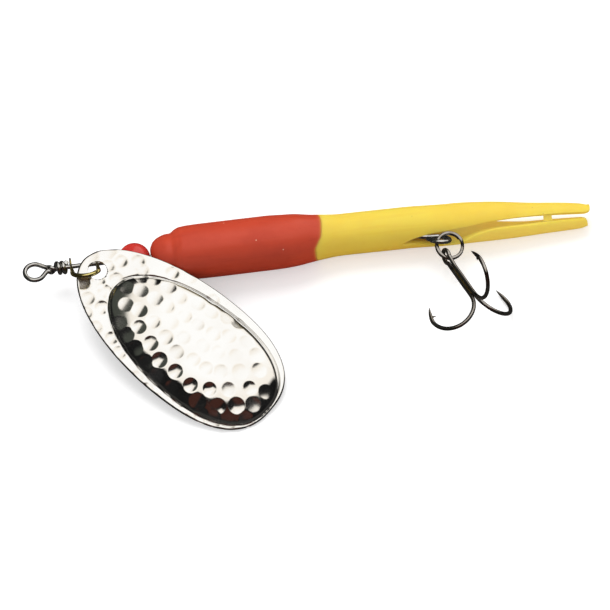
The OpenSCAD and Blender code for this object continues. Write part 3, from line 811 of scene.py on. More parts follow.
class SPINNER_OT_shaft_wire(bpy.types.Operator):
    """Bend one wire into the line-tie eye, the twist and wraps, the shaft and the rear eye"""
    bl_idname = "spinner.shaft_wire"
    bl_label = "Shaft wire"

    # the eye's neck and sag, the twist behind it and the wraps over that
    NECK, SAG, TWIST_LEN, TWIST_ANGLE, WRAP_TURNS = 0.52, 0.3, 1.65, 120, 2.25
    STRAND_GAP, WRAP_GAP, WRAP_STEPS = 0.05, 0.07, 16
    SHAFT_STATIONS = (7, 12, 25, 40, 52, BEND_X)
    # the rear eye: where its wire starts, in degrees, and the turn from each point to the next
    REAR_START, REAR_STEP, REAR_STEPS = 217, 16, 19
    # how far the cut ends stick out and how much thinner they get
    CUT_LEN, CUT_ROUNDING = 0.04, 0.07

    def execute(self, context):
        size = sizes()["wire"]
        path, radii = self.path(size)
        path, radii = flowing(path, radii, 5)
        piece = wire("shaft", path, radii, steel_finish(), 22)
        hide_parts("shaft_wire")
        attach(piece, "body")
        return {"FINISHED"}

    def path(self, size):
        loop_r = (TIE_EYE_BORE + size) / 2
        strand = (size + self.STRAND_GAP) / 2
        pitch = size + self.WRAP_GAP
        twist_start = loop_r + self.NECK
        wrap_start = twist_start + self.TWIST_LEN

        def twisted(x):
            return float(eased((x - twist_start) / self.TWIST_LEN))

        def angle(x):
            if x < wrap_start:
                return -TIE_EYE_TILT + self.TWIST_ANGLE * twisted(x)
            return -TIE_EYE_TILT + self.TWIST_ANGLE + 360 * (x - wrap_start) / pitch

        def about(x, r, a):
            return (x, r * math.cos(math.radians(a)), r * math.sin(math.radians(a)))

        tilt = math.radians(TIE_EYE_TILT)
        # the loop starts and ends where its circle meets the neck's two strands
        ends = []
        for side in (1, -1):
            off = side * strand + self.SAG
            opening = math.acos(loop_r / math.hypot(twist_start, off))
            ends.append(math.atan2(off, twist_start) + side * opening)
        first, last = ends
        loop = []
        for a in np.linspace(first, last + 2 * math.pi, 25):
            y = loop_r * math.sin(a) - self.SAG
            loop.append((loop_r * math.cos(a), y * math.cos(tilt), -y * math.sin(tilt)))
        stations = np.linspace(twist_start, wrap_start, 7)
        core = [about(x, strand * (1 - twisted(x)), angle(x)) for x in stations]
        end = [about(x, mix(strand, 2 * strand, twisted(x)), angle(x) + 180) for x in stations[:-1]]
        stations = [wrap_start + i * pitch / self.WRAP_STEPS
                    for i in range(int(self.WRAP_TURNS * self.WRAP_STEPS) + 1)]
        wraps = [about(x, 2 * strand, angle(x) + 180) for x in stations]
        path = wraps[::-1] + end[::-1] + loop[::-1] + core + [(x, 0, 0) for x in self.SHAFT_STATIONS]
        path += self.rear(size)
        start, finish = [np.array(tip) + self.CUT_LEN * unit(np.array(tip) - np.array(before))
                         for tip, before in ((path[0], path[1]), (path[-1], path[-2]))]
        cut = size / 2 - self.CUT_ROUNDING
        return [tuple(start)] + path + [tuple(finish)], [cut] + [size / 2] * len(path) + [cut]

    def rear(self, size):
        """The wire's last bend out of the tube's axis, and the eye that the ring hangs in."""
        r = (REAR_EYE_BORE + size) / 2
        m, c = turn_matrix(REAR_EYE_TURN), np.array(REAR_EYE)
        degrees = [self.REAR_START + i * self.REAR_STEP for i in range(self.REAR_STEPS)]
        eye = [(-r - 0.5, -0.35, 0)]
        eye += [(r * math.cos(math.radians(a)), r * math.sin(math.radians(a)), 0) for a in degrees]
        eye += [(-r - 0.3, 0.75, 0)]
        root = c + m @ np.array([-r - 1.6, -0.1, 0])
        start = np.array([BEND_X, 0, 0])
        pull = 0.9 * np.linalg.norm(root - start)
        way_in, way_out = np.array([1.0, 0, 0]), m @ np.array([1.0, 0, 0])
        bend = []
        for u in np.linspace(0, 1, 10)[1:]:
            a, b = 2 * u**3 - 3 * u**2 + 1, u**3 - 2 * u**2 + u
            bend.append(a * start + b * pull * way_in + (1 - a) * root + (u**3 - u**2) * pull * way_out)
        return [tuple(p) for p in bend] + [tuple(c + m @ np.array(p)) for p in eye]


class SPINNER_OT_clevis(bpy.types.Operator):
    """Bend the clevis: a wire bow whose ends are flattened into eyelets"""
    bl_idname = "spinner.clevis"
    bl_label = "Clevis"

    # the flattened end starts inside the eyelet's rim; its half width and half thickness
    FLAT_START, FLAT_WIDE, FLAT_THIN = 1.15, 1.05, 0.17
    # how far one corner of the bow was pushed over
    LEAN = 0.38
    # the eyelet's closed profile: along the shaft, radius
    EYELET = ((-0.10, SHAFT_BORE), (-0.15, 0.54), (-0.15, 1.5), (-0.11, 1.61), (0, 1.65), (0.11, 1.61),
              (0.15, 1.5), (0.15, 0.54), (0.10, SHAFT_BORE))

    def execute(self, context):
        size = sizes()["clevis_wire"]
        turn = math.radians(CLEVIS_TURN)
        out = np.array([0, -math.cos(turn), math.sin(turn)])
        side = np.cross([1, 0, 0], out)
        middle = np.array([EYELET_X + CLEVIS_SPAN / 2, 0, 0])
        r = CLEVIS_SPAN / 2
        straight = CLEVIS_REACH - r
        points, flat = [], []

        def leg(stations, foot):
            for t in stations:
                points.append(middle + [foot, 0, 0] + out * t)
                flat.append(1 - float(eased((t - self.FLAT_START) / (straight - 1.0))))

        leg(np.linspace(self.FLAT_START, straight, 16)[:-1], -r)
        for a in np.linspace(0, math.pi, 33):
            lean = self.LEAN * math.sin(2 * a) if a > math.pi / 2 else 0.0
            points.append(middle + [lean - r * math.cos(a), 0, 0] + out * (straight + r * math.sin(a)))
            flat.append(0.0)
        leg(np.linspace(straight, self.FLAT_START, 16)[1:], r)
        sections = []
        a = np.linspace(0, 2 * math.pi, 22, endpoint=False)
        for (_, u, v), p, f in zip(path_frames(np.array(points), side), points, flat):
            wide, thin = mix(size / 2, self.FLAT_WIDE, f**1.5), mix(size / 2, self.FLAT_THIN, f**1.6)
            sections.append(p + np.outer(np.cos(a) * wide, u) + np.outer(np.sin(a) * thin, v))
        finish = brass_finish()
        pieces = [loft("clevis_bow", sections, finish)]
        for x in (EYELET_X, EYELET_X + CLEVIS_SPAN):
            pieces.append(lathe("eyelet", self.EYELET, finish, x, 64))
        piece = join(pieces, "clevis_wire")
        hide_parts("clevis")
        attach(piece, "clevis")
        return {"FINISHED"}


class SPINNER_OT_blade(bpy.types.Operator):
    """Stamp and hammer the blade: flat rim, domed middle, rows of dents and the hole"""
    bl_idname = "spinner.blade"
    bl_label = "Blade"

    AROUND, DOME_ROWS, RIM_ROWS = 430, 76, 26
    # along the blade: its front edge ahead of the hole, and where the dome starts behind that edge
    INSET, DOME_FRONT = 3.4, 7.83
    DOME_LEN, DOME_WIDE, DOME_DRIFT = 36.85, 20.0, -0.35
    # each oval: where along it the widest place is, and how full its front and its rear are
    BLADE_OVAL, DOME_OVAL = (0.58, 1.9, 2.5), (0.565, 2.1, 2.3)
    # the dome rises by its wall's height within the wall's width, and its crown makes up the rest
    WALL_HEIGHT, WALL_WIDTH, CREASE_DEPTH, CREASE_WIDTH, RIM_DROP = 0.75, 0.6, 0.16, 0.34, 0.004
    # how much of a mark shows on the back, and the radius that a mark's full depth is meant for
    BACK_SHARE, MARK_RADIUS = 0.3, 1.4
    EDGE_INSET = 0.34
    PUNCH_STEPS = 72

    def oval(self, s, top, front, rear):
        """Half width, as a share of the widest, at the share s of the length."""
        s = np.clip(s, 0, 1)
        low = np.sqrt(np.clip(1 - (np.clip((top - s) / top, 0, 1)) ** front, 0, 1))
        high = np.clip(1 - (np.clip((s - top) / (1 - top), 0, 1)) ** rear, 0, 1) ** (1 / rear)
        return np.where(s < top, low, high)

    def outline(self, a, size):
        s = (1 - np.cos(a)) / 2
        return np.stack([size["blade_length"] * s - self.INSET,
                         np.sign(np.sin(a)) * size["blade_width"] / 2 * self.oval(s, *self.BLADE_OVAL)], -1)

    def dome_edge(self, a):
        s = (1 - np.cos(a)) / 2
        return np.stack([self.DOME_LEN * s + self.DOME_FRONT - self.INSET,
                         self.DOME_DRIFT + np.sign(np.sin(a)) * self.DOME_WIDE / 2
                         * self.oval(s, *self.DOME_OVAL)], -1)

    def dents(self, size):
        """Every mark's centre, radius, depth and how much of the hammer's grain it took."""
        rng = np.random.default_rng(11)
        a = (np.arange(1440) + 0.5) * 2 * math.pi / 1440
        edge, out = self.dome_edge(a), self.outline(a, size)
        full, found = size["dent_size"] / 2, []

        def distance(line, x, y):
            return float(np.min(np.hypot(*(line - (x, y)).T)))

        # the marks get shallower towards the dome's middle, and a little so on its far side
        for x, y in DOME_MARKS:
            depth = mix(1.0, 0.6, float(eased((distance(edge, x, y) - 4.5) / 4.0))) * (1.0 if y < 0 else 0.8)
            found.append((np.array([x, y]), full * rng.uniform(0.96, 1.1), size["dent_depth"] * depth
                          * rng.uniform(0.88, 1.12), rng.uniform(0.2, 1.0) ** 2))
        # those on the rim get shallower towards the blade's edge
        for x, y in RIM_MARKS:
            depth = mix(0.6, 1.0, float(eased(distance(out, x, y) - 0.5)))
            found.append((np.array([x, y]), full * rng.uniform(0.94, 1.08), size["dent_depth"] * depth
                          * rng.uniform(0.85, 1.2), 0.15))
        return found

    def height(self, flat, share, off_edge, size):
        """The sheet's middle before the hammer: crown and wall, crease at the foot, and the falling rim."""
        height = ((size["dome_height"] - self.WALL_HEIGHT) * (1 - share ** 3.0)
                  + self.WALL_HEIGHT * np.where(share < 1, 1 - np.exp(-off_edge / self.WALL_WIDTH), 0))
        height -= self.CREASE_DEPTH * np.exp(-(off_edge / self.CREASE_WIDTH) ** 2)
        height -= np.where(share < 1, 0, self.RIM_DROP * off_edge ** 2)
        return height + 0.012 * ripple(flat[..., 0], flat[..., 1], 3, 5.0)

    def execute(self, context):
        size = sizes()
        n = self.AROUND
        a = (np.arange(n) + 0.5) * 2 * math.pi / n
        middle = np.array([self.DOME_FRONT - self.INSET + self.DOME_LEN * 0.54, self.DOME_DRIFT])
        edge, out = self.dome_edge(a), self.outline(a, size)
        outward = unit_rows(out - middle)
        rim = out - outward * self.EDGE_INSET
        rows = [(middle + (edge - middle) * u, u) for u in np.linspace(0.012, 1, self.DOME_ROWS)[:-1]]
        rows += [(mix(edge, rim, v), 1.0) for v in np.linspace(0, 1, self.RIM_ROWS) ** 1.15]
        flat = np.array([points for points, _ in rows])
        share = np.array([np.full(n, u) for _, u in rows])
        off_edge = np.linalg.norm(flat - edge[None], axis=2)
        height = self.height(flat, share, off_edge, size)
        dented, hollow = np.zeros(height.shape), np.zeros(height.shape)
        for (cx, cy), r, depth, grain in self.dents(size):
            q = np.hypot(flat[..., 0] - cx, flat[..., 1] - cy) / r
            hollow += depth * (r / self.MARK_RADIUS) * np.clip(1 - q * q, 0, 1)
            dented = np.maximum(dented, grain * np.clip(1.1 - q, 0, 0.3) / 0.3)
        # the hammer marks the face deeply and the back, which lay on the block, only a little
        half = size["blade_sheet"] / 2
        face, back = height - hollow + half, height - self.BACK_SHARE * hollow - half

        # rows of points over the face, round the edge and back under it
        inner = len(rows) - 1
        layers = [np.column_stack([flat[i], face[i]]) for i in range(inner)]
        for inwards, drop in ((self.EDGE_INSET, 0.0), (0.22, 0.03), (0.10, 0.11), (0.0, 0.26)):
            layers.append(np.column_stack([out - outward * inwards, face[-1] - drop]))
        for inwards, lift in ((0.0, 0.22), (0.06, 0.08), (0.14, 0.02), (0.24, 0.0)):
            layers.append(np.column_stack([out - outward * inwards, back[-1] + lift]))
        layers += [np.column_stack([flat[i], back[i]]) for i in range(inner)[::-1]]
        marks = np.concatenate([*dented[:inner], np.zeros(8 * n), *dented[:inner][::-1], np.zeros(2)])

        points = np.concatenate(layers)
        faces = grid_faces(len(layers), n, flip=True)
        top, bottom = len(points), len(points) + 1
        points = np.vstack([points, [*middle, np.mean(face[0])], [*middle, np.mean(back[0])]])
        last = (len(layers) - 1) * n
        faces += [(top, k, (k + 1) % n) for k in range(n)]
        faces += [(bottom, last + (k + 1) % n, last + k) for k in range(n)]
        m, hole = turn_matrix(BLADE_TURN), np.array(HOLE_CENTRE)
        piece = solid("blade", points @ m.T + hole, faces, self.finish())
        piece.data.attributes.new("dented", "FLOAT", "POINT").data.foreach_set("value", marks)
        self.punch(piece, m, hole)
        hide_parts("spinner_blade")
        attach(piece, "blade")
        return {"FINISHED"}

    def punch(self, piece, m, hole):
        """The punched hole, with a small rounding at both faces."""
        # half of the profile: across the sheet, radius
        outer = [(0.16, 1.78), (0.30, 1.87), (0.45, 1.95), (2.0, 1.95)]
        profile = [(-z, r) for z, r in outer[::-1]] + [(0.0, 1.75)] + outer
        n = self.PUNCH_STEPS
        a = np.linspace(0, 2 * math.pi, n, endpoint=False)
        rings = [np.column_stack([r * np.cos(a), r * np.sin(a), np.full(n, z)]) @ m.T + hole
                 for z, r in profile]
        cutter = loft("punch", rings, piece.data.materials[0])
        modifier = piece.modifiers.new("hole", "BOOLEAN")
        modifier.operation = "DIFFERENCE"
        modifier.solver = "EXACT"
        modifier.object = cutter
        mesh = bpy.data.meshes.new_from_object(piece.evaluated_get(bpy.context.evaluated_depsgraph_get()))
        piece.modifiers.remove(modifier)
        old = piece.data
        piece.data = mesh
        bpy.data.meshes.remove(old)
        bpy.data.objects.remove(cutter)

    def finish(self):
        """Bright nickel over hammered sheet: clean on the rim, finely grained inside the dents."""
        material, shader = new_material("hammered_silver", Metallic=1.0)
        nodes, links = material.node_tree.nodes, material.node_tree.links
        group = placed_group(nodes, handled_metal(), Colour=colours().silver, Tarnish=(0.86, 0.81, 0.74),
                             Tarnish_amount=0.25, Roughness=0.075, Patch_scale=160.0)
        mark = painted(nodes, "dented")
        place = nodes.new("ShaderNodeTexCoord").outputs["Object"]
        grain = noise(nodes, links, place, 2600.0, 4.0, 0.7)
        rough = maths(nodes, links, "ADD", group.outputs["Roughness"],
                      maths(nodes, links, "MULTIPLY", mark, 0.15))
        pits = maths(nodes, links, "MULTIPLY", group.outputs["Height"], 0.15)
        grained = maths(nodes, links, "ADD", maths(nodes, links, "MULTIPLY", mark, 0.8), 0.08)
        height = maths(nodes, links, "ADD", pits,
                       maths(nodes, links, "MULTIPLY", grain.outputs["Fac"], grained))
        links.new(group.outputs["Colour"], shader.inputs["Base Color"])
        links.new(rough, shader.inputs["Roughness"])
        bumped(material, shader, height, 0.00002, 0.35)
        return material


class SPINNER_OT_bead(bpy.types.Operator):
    """Turn the bead with its bore"""
    bl_idname = "spinner.bead"
    bl_label = "Bead"

    def execute(self, context):
        r, bore, lead = sizes()["bead"] / 2, SHAFT_BORE, 0.12
        start = math.asin((bore + lead) / r)
        end = r * math.cos(start)
        profile = [(-end + 0.03, bore + 0.04), (-end + lead, bore),
                   (end - lead, bore), (end - 0.03, bore + 0.04)]
        profile += [(r * math.cos(t), r * math.sin(t)) for t in np.linspace(start, math.pi - start, 48)]
        material, shader = new_material("bead_gloss", Subsurface_Weight=0.25, Subsurface_Scale=0.0015,
                                        IOR=1.5, Coat_Weight=0.3, Coat_Roughness=0.05)
        nodes, links = material.node_tree.nodes, material.node_tree.links
        place = nodes.new("ShaderNodeTexCoord").outputs["Object"]
        swirl = noise(nodes, links, place, 260.0, 3.0)
        swirl.inputs["Distortion"].default_value = 0.8
        red = tuple(colours().bead_red)
        colour = blend_colours(nodes, links, ramp(nodes, links, swirl.outputs["Fac"], 0.35, 0.7),
                               red, (red[0] * 0.82, red[1] * 0.7, red[2] * 0.7))
        links.new(colour, shader.inputs["Base Color"])
        links.new(ramp(nodes, links, swirl.outputs["Fac"], 0.3, 0.7, 0.16, 0.28), shader.inputs["Roughness"])
        bumped(material, shader, noise(nodes, links, place, 1800.0, 2.0).outputs["Fac"], 0.00003, 0.12)
        piece = lathe("bead", profile, material, BEAD_X, 96)
        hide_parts("bearing_bead")
        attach(piece, "bead")
        return {"FINISHED"}


class SPINNER_OT_tube(bpy.types.Operator):
    """Mould the soft tube: the red head over the weight and the yellow slit tail"""
    bl_idname = "spinner.tube"
    bl_label = "Tube"

    HEAD_COLUMNS, UPPER_COLUMNS, LOWER_COLUMNS = 168, 96, 72
    # the head's bore starts behind the nose, and is a cone until the wall takes over
    BORE_START, BORE_RADIUS, CONE_START, CONE_GROWTH, CONE_END = 2.12, 3.2, 4, 0.6, 5.5
    # how wide the colours run into each other, and the gap between the two mouldings there
    BLEED, COLOUR_GAP = 0.16, 0.04
    # a painted glow, standing in for light through the tails' thin walls, starts at this station and grows
    # over this length
    LIGHT_START, LIGHT_GROWS = 52.5, 4.5
    # the tails' closed ends, how much one tail is longer, and the small bulge beside the split ring
    END_LEN, END_ROUND, UPPER_LONGER, LOWER_LONGER = 2, 1.2, 0.5, -0.2
    BULGE, BULGE_AT, BULGE_LEN, BULGE_ANGLE = 0.30, 58.2, 1.5, 16.0

    def execute(self, context):
        red, yellow = self.finishes()
        wall = sizes()["tube_wall"]
        head = self.head(red, wall)
        self.paint(head, wall)
        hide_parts("tube_head")
        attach(head, "body")
        tail = self.tail(yellow, wall)
        self.paint(tail, wall)
        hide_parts("tube_tail")
        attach(tail, "body")
        head.visible_glossy = tail.visible_glossy = False
        return {"FINISHED"}

    def finishes(self):
        """The red and the yellow plastic, and the orange where they meet."""
        red, yellow = colours().tube_red, colours().tube_yellow
        meeting = tuple(mix(r, y, 0.45) for r, y in zip(red, yellow))
        deep_red = [c * k for c, k in zip(red, (0.8, 0.62, 0.6))]
        deep_yellow = [c * k for c, k in zip(yellow, (0.95, 0.88, 0.8))]
        return (soft_skin("soft_red_plastic", red, deep_red, dust=(0.85, 0.5, 0.35), amount=1.0,
                          roughness=0.36, scatter=0.12, reach=0.0012, border_colour=meeting),
                soft_skin("soft_yellow_plastic", yellow, deep_yellow, dust=(0.45, 0.30, 0.05), amount=0.5,
                          roughness=0.40, scatter=0.7, reach=0.0015, border_colour=meeting,
                          # the colour of the painted glow that stands in for light shining through the tail's
                          # thin walls
                          through=(0.64, 0.66, 0.20)))

    def paint(self, piece, wall):
        """Mark how near each point is to where the colours meet, and how strong the painted glow is there,
        standing in for light through the thin wall.
        """
        place = np.array([v.co for v in piece.data.vertices]) / MM
        s = place[:, 0] - NOSE_X
        side, up = tube_centre(s)
        angle = np.degrees(np.arctan2(place[:, 2] - up, place[:, 1] - side))
        near = np.exp(-np.abs(s - border(angle)) / self.BLEED)
        deep = (tube_radius(s) - np.hypot(place[:, 1] - side, place[:, 2] - up)) / wall
        # painted glow that brightens shade: the tails' inner walls, the web inside them, and the skin on the
        # tails' front and underside
        inner = eased((deep - 0.25) / 0.6)
        lower = eased((-20 - angle) / 20) + eased((angle - 131) / 10)
        light = np.maximum(inner, lower * 1.1) * eased((s - self.LIGHT_START) / self.LIGHT_GROWS)
        for name, values in (("bleed", near), ("painted_wall_glow", light)):
            piece.data.attributes.new(name, "FLOAT", "POINT").data.foreach_set("value", values)

    def wobble(self, s, degrees):
        """Soft unevenness of the skin, none at the nose."""
        a = np.radians(degrees)
        return 0.035 * eased(s / 6) * ripple(s, 9 * np.cos(a) + 5 * np.sin(2 * a), 8, 14.0)

    def head(self, material, wall):
        columns = self.HEAD_COLUMNS
        degrees = np.arange(columns) * -360 / columns
        end = border(degrees)
        # the flat of the nose, then the skin, the bore back from the border, and the bore's floor
        rows = [tube_points(np.full(columns, 0.02 * (1.3 - r)), degrees, np.full(columns, r))
                for r in (0.5, 0.9, 1.3)]
        for u in np.concatenate([np.linspace(0, 0.06, 10)[:-1], np.linspace(0.06, 0.3, 46)[:-1],
                                 np.linspace(0.3, 0.96, 56)[:-1], np.linspace(0.96, 1, 10)]):
            s = end * u
            rows.append(tube_points(s, degrees, tube_radius(s) + self.wobble(s, degrees)))
        for u in np.linspace(1, 0, 60):
            s = mix(self.BORE_START, end, u)
            cone = self.BORE_RADIUS + np.maximum(s - self.CONE_START, 0) * self.CONE_GROWTH
            inner = tube_radius(s) - wall
            rows.append(tube_points(s, degrees, np.where(s < self.CONE_END, np.minimum(inner, cone), inner)))
        for r in (2.0, 0.5):
            rows.append(tube_points(np.full(columns, self.BORE_START), degrees, np.full(columns, r)))
        faces = grid_faces(len(rows), columns)
        last = (len(rows) - 1) * columns
        faces += [(last + k, last + (k + 1) % columns, (k + 1) % columns, k) for k in range(columns)]
        return solid("tube_head_soft", np.concatenate(rows), faces, material)

    def lips(self, s):
        """Angles of the near slit's two lips and of half the far slit, at stations s."""
        far = FAR_WIDEST * np.clip((s - FAR_START) / FAR_OPENS, 0, 1) ** 0.9
        return curved_table(NEAR_UPPER, s), curved_table(NEAR_LOWER, s), far

    def tail(self, material, wall):
        """The upper and the lower half of the tail, whole in front of the slits and apart behind."""
        end, base = TAIL_X - NOSE_X, COLOUR_X - NOSE_X
        cuts = np.concatenate([np.linspace(base, base + 1.2, 9)[:-1],
                               np.linspace(base + 1.2, SLIT_START, 24)[:-1],
                               np.linspace(SLIT_START, FAR_START, 60)[:-1],
                               np.linspace(FAR_START, end - self.END_LEN, 44)[:-1],
                               end - self.END_LEN + self.END_LEN * np.sin(np.linspace(0, math.pi / 2, 14))])
        upper, lower, far = self.lips(cuts)
        turn_in = np.sqrt(np.clip(1 - (np.clip((cuts - end + self.END_ROUND) / 1.22, 0, 1)) ** 3.2, 0, 1))
        points, faces, offset = [], [], 0
        for low, high, columns, centre, longer in (
                (FAR_ANGLE + far, upper, self.UPPER_COLUMNS, 0.72, self.UPPER_LONGER),
                (lower, FAR_ANGLE + 360 - far * 0.6, self.LOWER_COLUMNS, 0.4, self.LOWER_LONGER)):
            middle = mix(low, high, centre)
            low, high = mix(middle, low, turn_in), mix(middle, high, turn_in)
            grid = low[:, None] + (high - low)[:, None] * np.linspace(0, 1, columns)[None]
            s = np.repeat(cuts[:, None], columns, 1)
            s = s + longer * np.clip((cuts[:, None] - FAR_START) / 12, 0, 1)
            # the front follows the uneven colour border, and the shift dies out behind it
            s = s + (border(grid) + self.COLOUR_GAP - base) * np.clip(1 - (cuts[:, None] - base) / 5, 0, 1)
            outer = tube_radius(s) + self.wobble(s, grid)
            outer = outer + (self.BULGE * np.exp(-((s - self.BULGE_AT) / self.BULGE_LEN) ** 2)
                             * np.exp(-((grid - lower[:, None]) / self.BULGE_ANGLE) ** 2))
            thin = wall * np.clip(0.55 + 0.45 * turn_in[:, None], 0, 1)
            for radius in (outer, outer - thin):
                points.append(tube_points(s, grid, radius).reshape(-1, 3))
            near_column = columns - 1 if columns == self.UPPER_COLUMNS else 0
            faces += self.half_shell(cuts, columns, offset, near_column)
            offset += 2 * len(cuts) * columns
        first = COLOUR_X + 1.2
        skin = solid("tail_skin", np.concatenate(points), faces, material, merge=1e-4,
                     round_edges=lambda edge: min(v.co.x for v in edge.verts) > first)
        return join([skin, self.web(material)], "tube_tail_soft")

    def half_shell(self, cuts, columns, offset, near_column):
        """Faces of one half: its skin, its inner wall, its slit edges where they are open, and its ends."""
        rows = len(cuts)
        inside = rows * columns
        faces = grid_faces(rows, columns, offset, closed=False)
        faces += grid_faces(rows, columns, offset + inside, closed=False, flip=True)
        for i in range(rows - 1):
            for k in (0, columns - 1):
                start = SLIT_START if k == near_column else FAR_START
                a, b = offset + i * columns + k, offset + (i + 1) * columns + k
                if cuts[i] >= start - 1e-6:
                    faces.append((a, b, b + inside, a + inside) if k else (b, a, a + inside, b + inside))
        for i in (0, rows - 1):
            for k in range(columns - 1):
                a, b = offset + i * columns + k, offset + i * columns + k + 1
                faces.append((a, b, b + inside, a + inside) if i else (b, a, a + inside, b + inside))
        return faces

    def web(self, material):
        """The scrap of moulding that still joins the two tails."""
        m, centre = turn_matrix((26, 0, 0)), web_centre()
        n, half_height, thick, waist, flare = 20, 1.0, 0.25, 0.80, 0.35
        a = np.linspace(0, 2 * math.pi, n, endpoint=False)
        sections = []
        for v in np.linspace(-1, 1, 13):
            across, through = squared_round(a, waist + flare * abs(v) ** 3, thick, 0.5)
            sections.append(np.column_stack([across, np.full(n, half_height * v), through]) @ m.T + centre)
        return loft("web", sections, material)


def web_centre():
    s = TAIL_X - WEB_FROM_TIP - NOSE_X
    y, z = tube_centre(np.array([s]))
    return np.array([NOSE_X + s, float(y[0]) + WEB_SHIFT[0], float(z[0]) + WEB_SHIFT[1]])


def squared_round(a, wide, thick, power):
    """Both coordinates of a closed section at the angles a, squarer than an oval for a power below 1."""
    return (wide * np.sign(np.cos(a)) * np.abs(np.cos(a)) ** power,
            thick * np.sign(np.sin(a)) * np.abs(np.sin(a)) ** power)


class SPINNER_OT_split_ring(bpy.types.Operator):
    """Coil the split ring"""
    bl_idname = "spinner.split_ring"
    bl_label = "Split ring"

    WIRE_WIDE, WIRE_THICK, COIL_GAP = 0.64, 0.42, 0.05
    # degrees: where the ring starts, half the stretch where it steps from coil to coil, and one section
    START, JOG, STEP = 4.0, 30.0, 4.0
    # the wire's size at its cut ends, as a share
    CUT_END = 0.86

    def execute(self, context):
        wide, thick, gap = self.WIRE_WIDE, self.WIRE_THICK, self.COIL_GAP
        r = (sizes()["ring"] - wide) / 2
        m, c = turn_matrix(RING_TURN), np.array(RING_CENTRE)
        turned = np.arange(self.JOG, 720 - self.JOG + 0.1, self.STEP)
        level = (thick + gap) * (eased((turned - 360 + self.JOG) / (2 * self.JOG)) - 0.5)
        t = np.linspace(0, 2 * math.pi, 20, endpoint=False)
        across, up = squared_round(t, wide / 2, thick / 2, 0.8)
        sections = []
        for i, (angle, z) in enumerate(zip(turned, level)):
            shrink = self.CUT_END if i in (0, len(turned) - 1) else 1.0
            w = math.radians(angle + self.START)
            ring = np.column_stack([(r + across * shrink) * math.cos(w), (r + across * shrink) * math.sin(w),
                                    z + up * shrink])
            sections.append(ring @ m.T + c)
        piece = loft("ring_coils", sections, nickel_finish())
        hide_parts("split_ring")
        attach(piece, "ring")
        return {"FINISHED"}


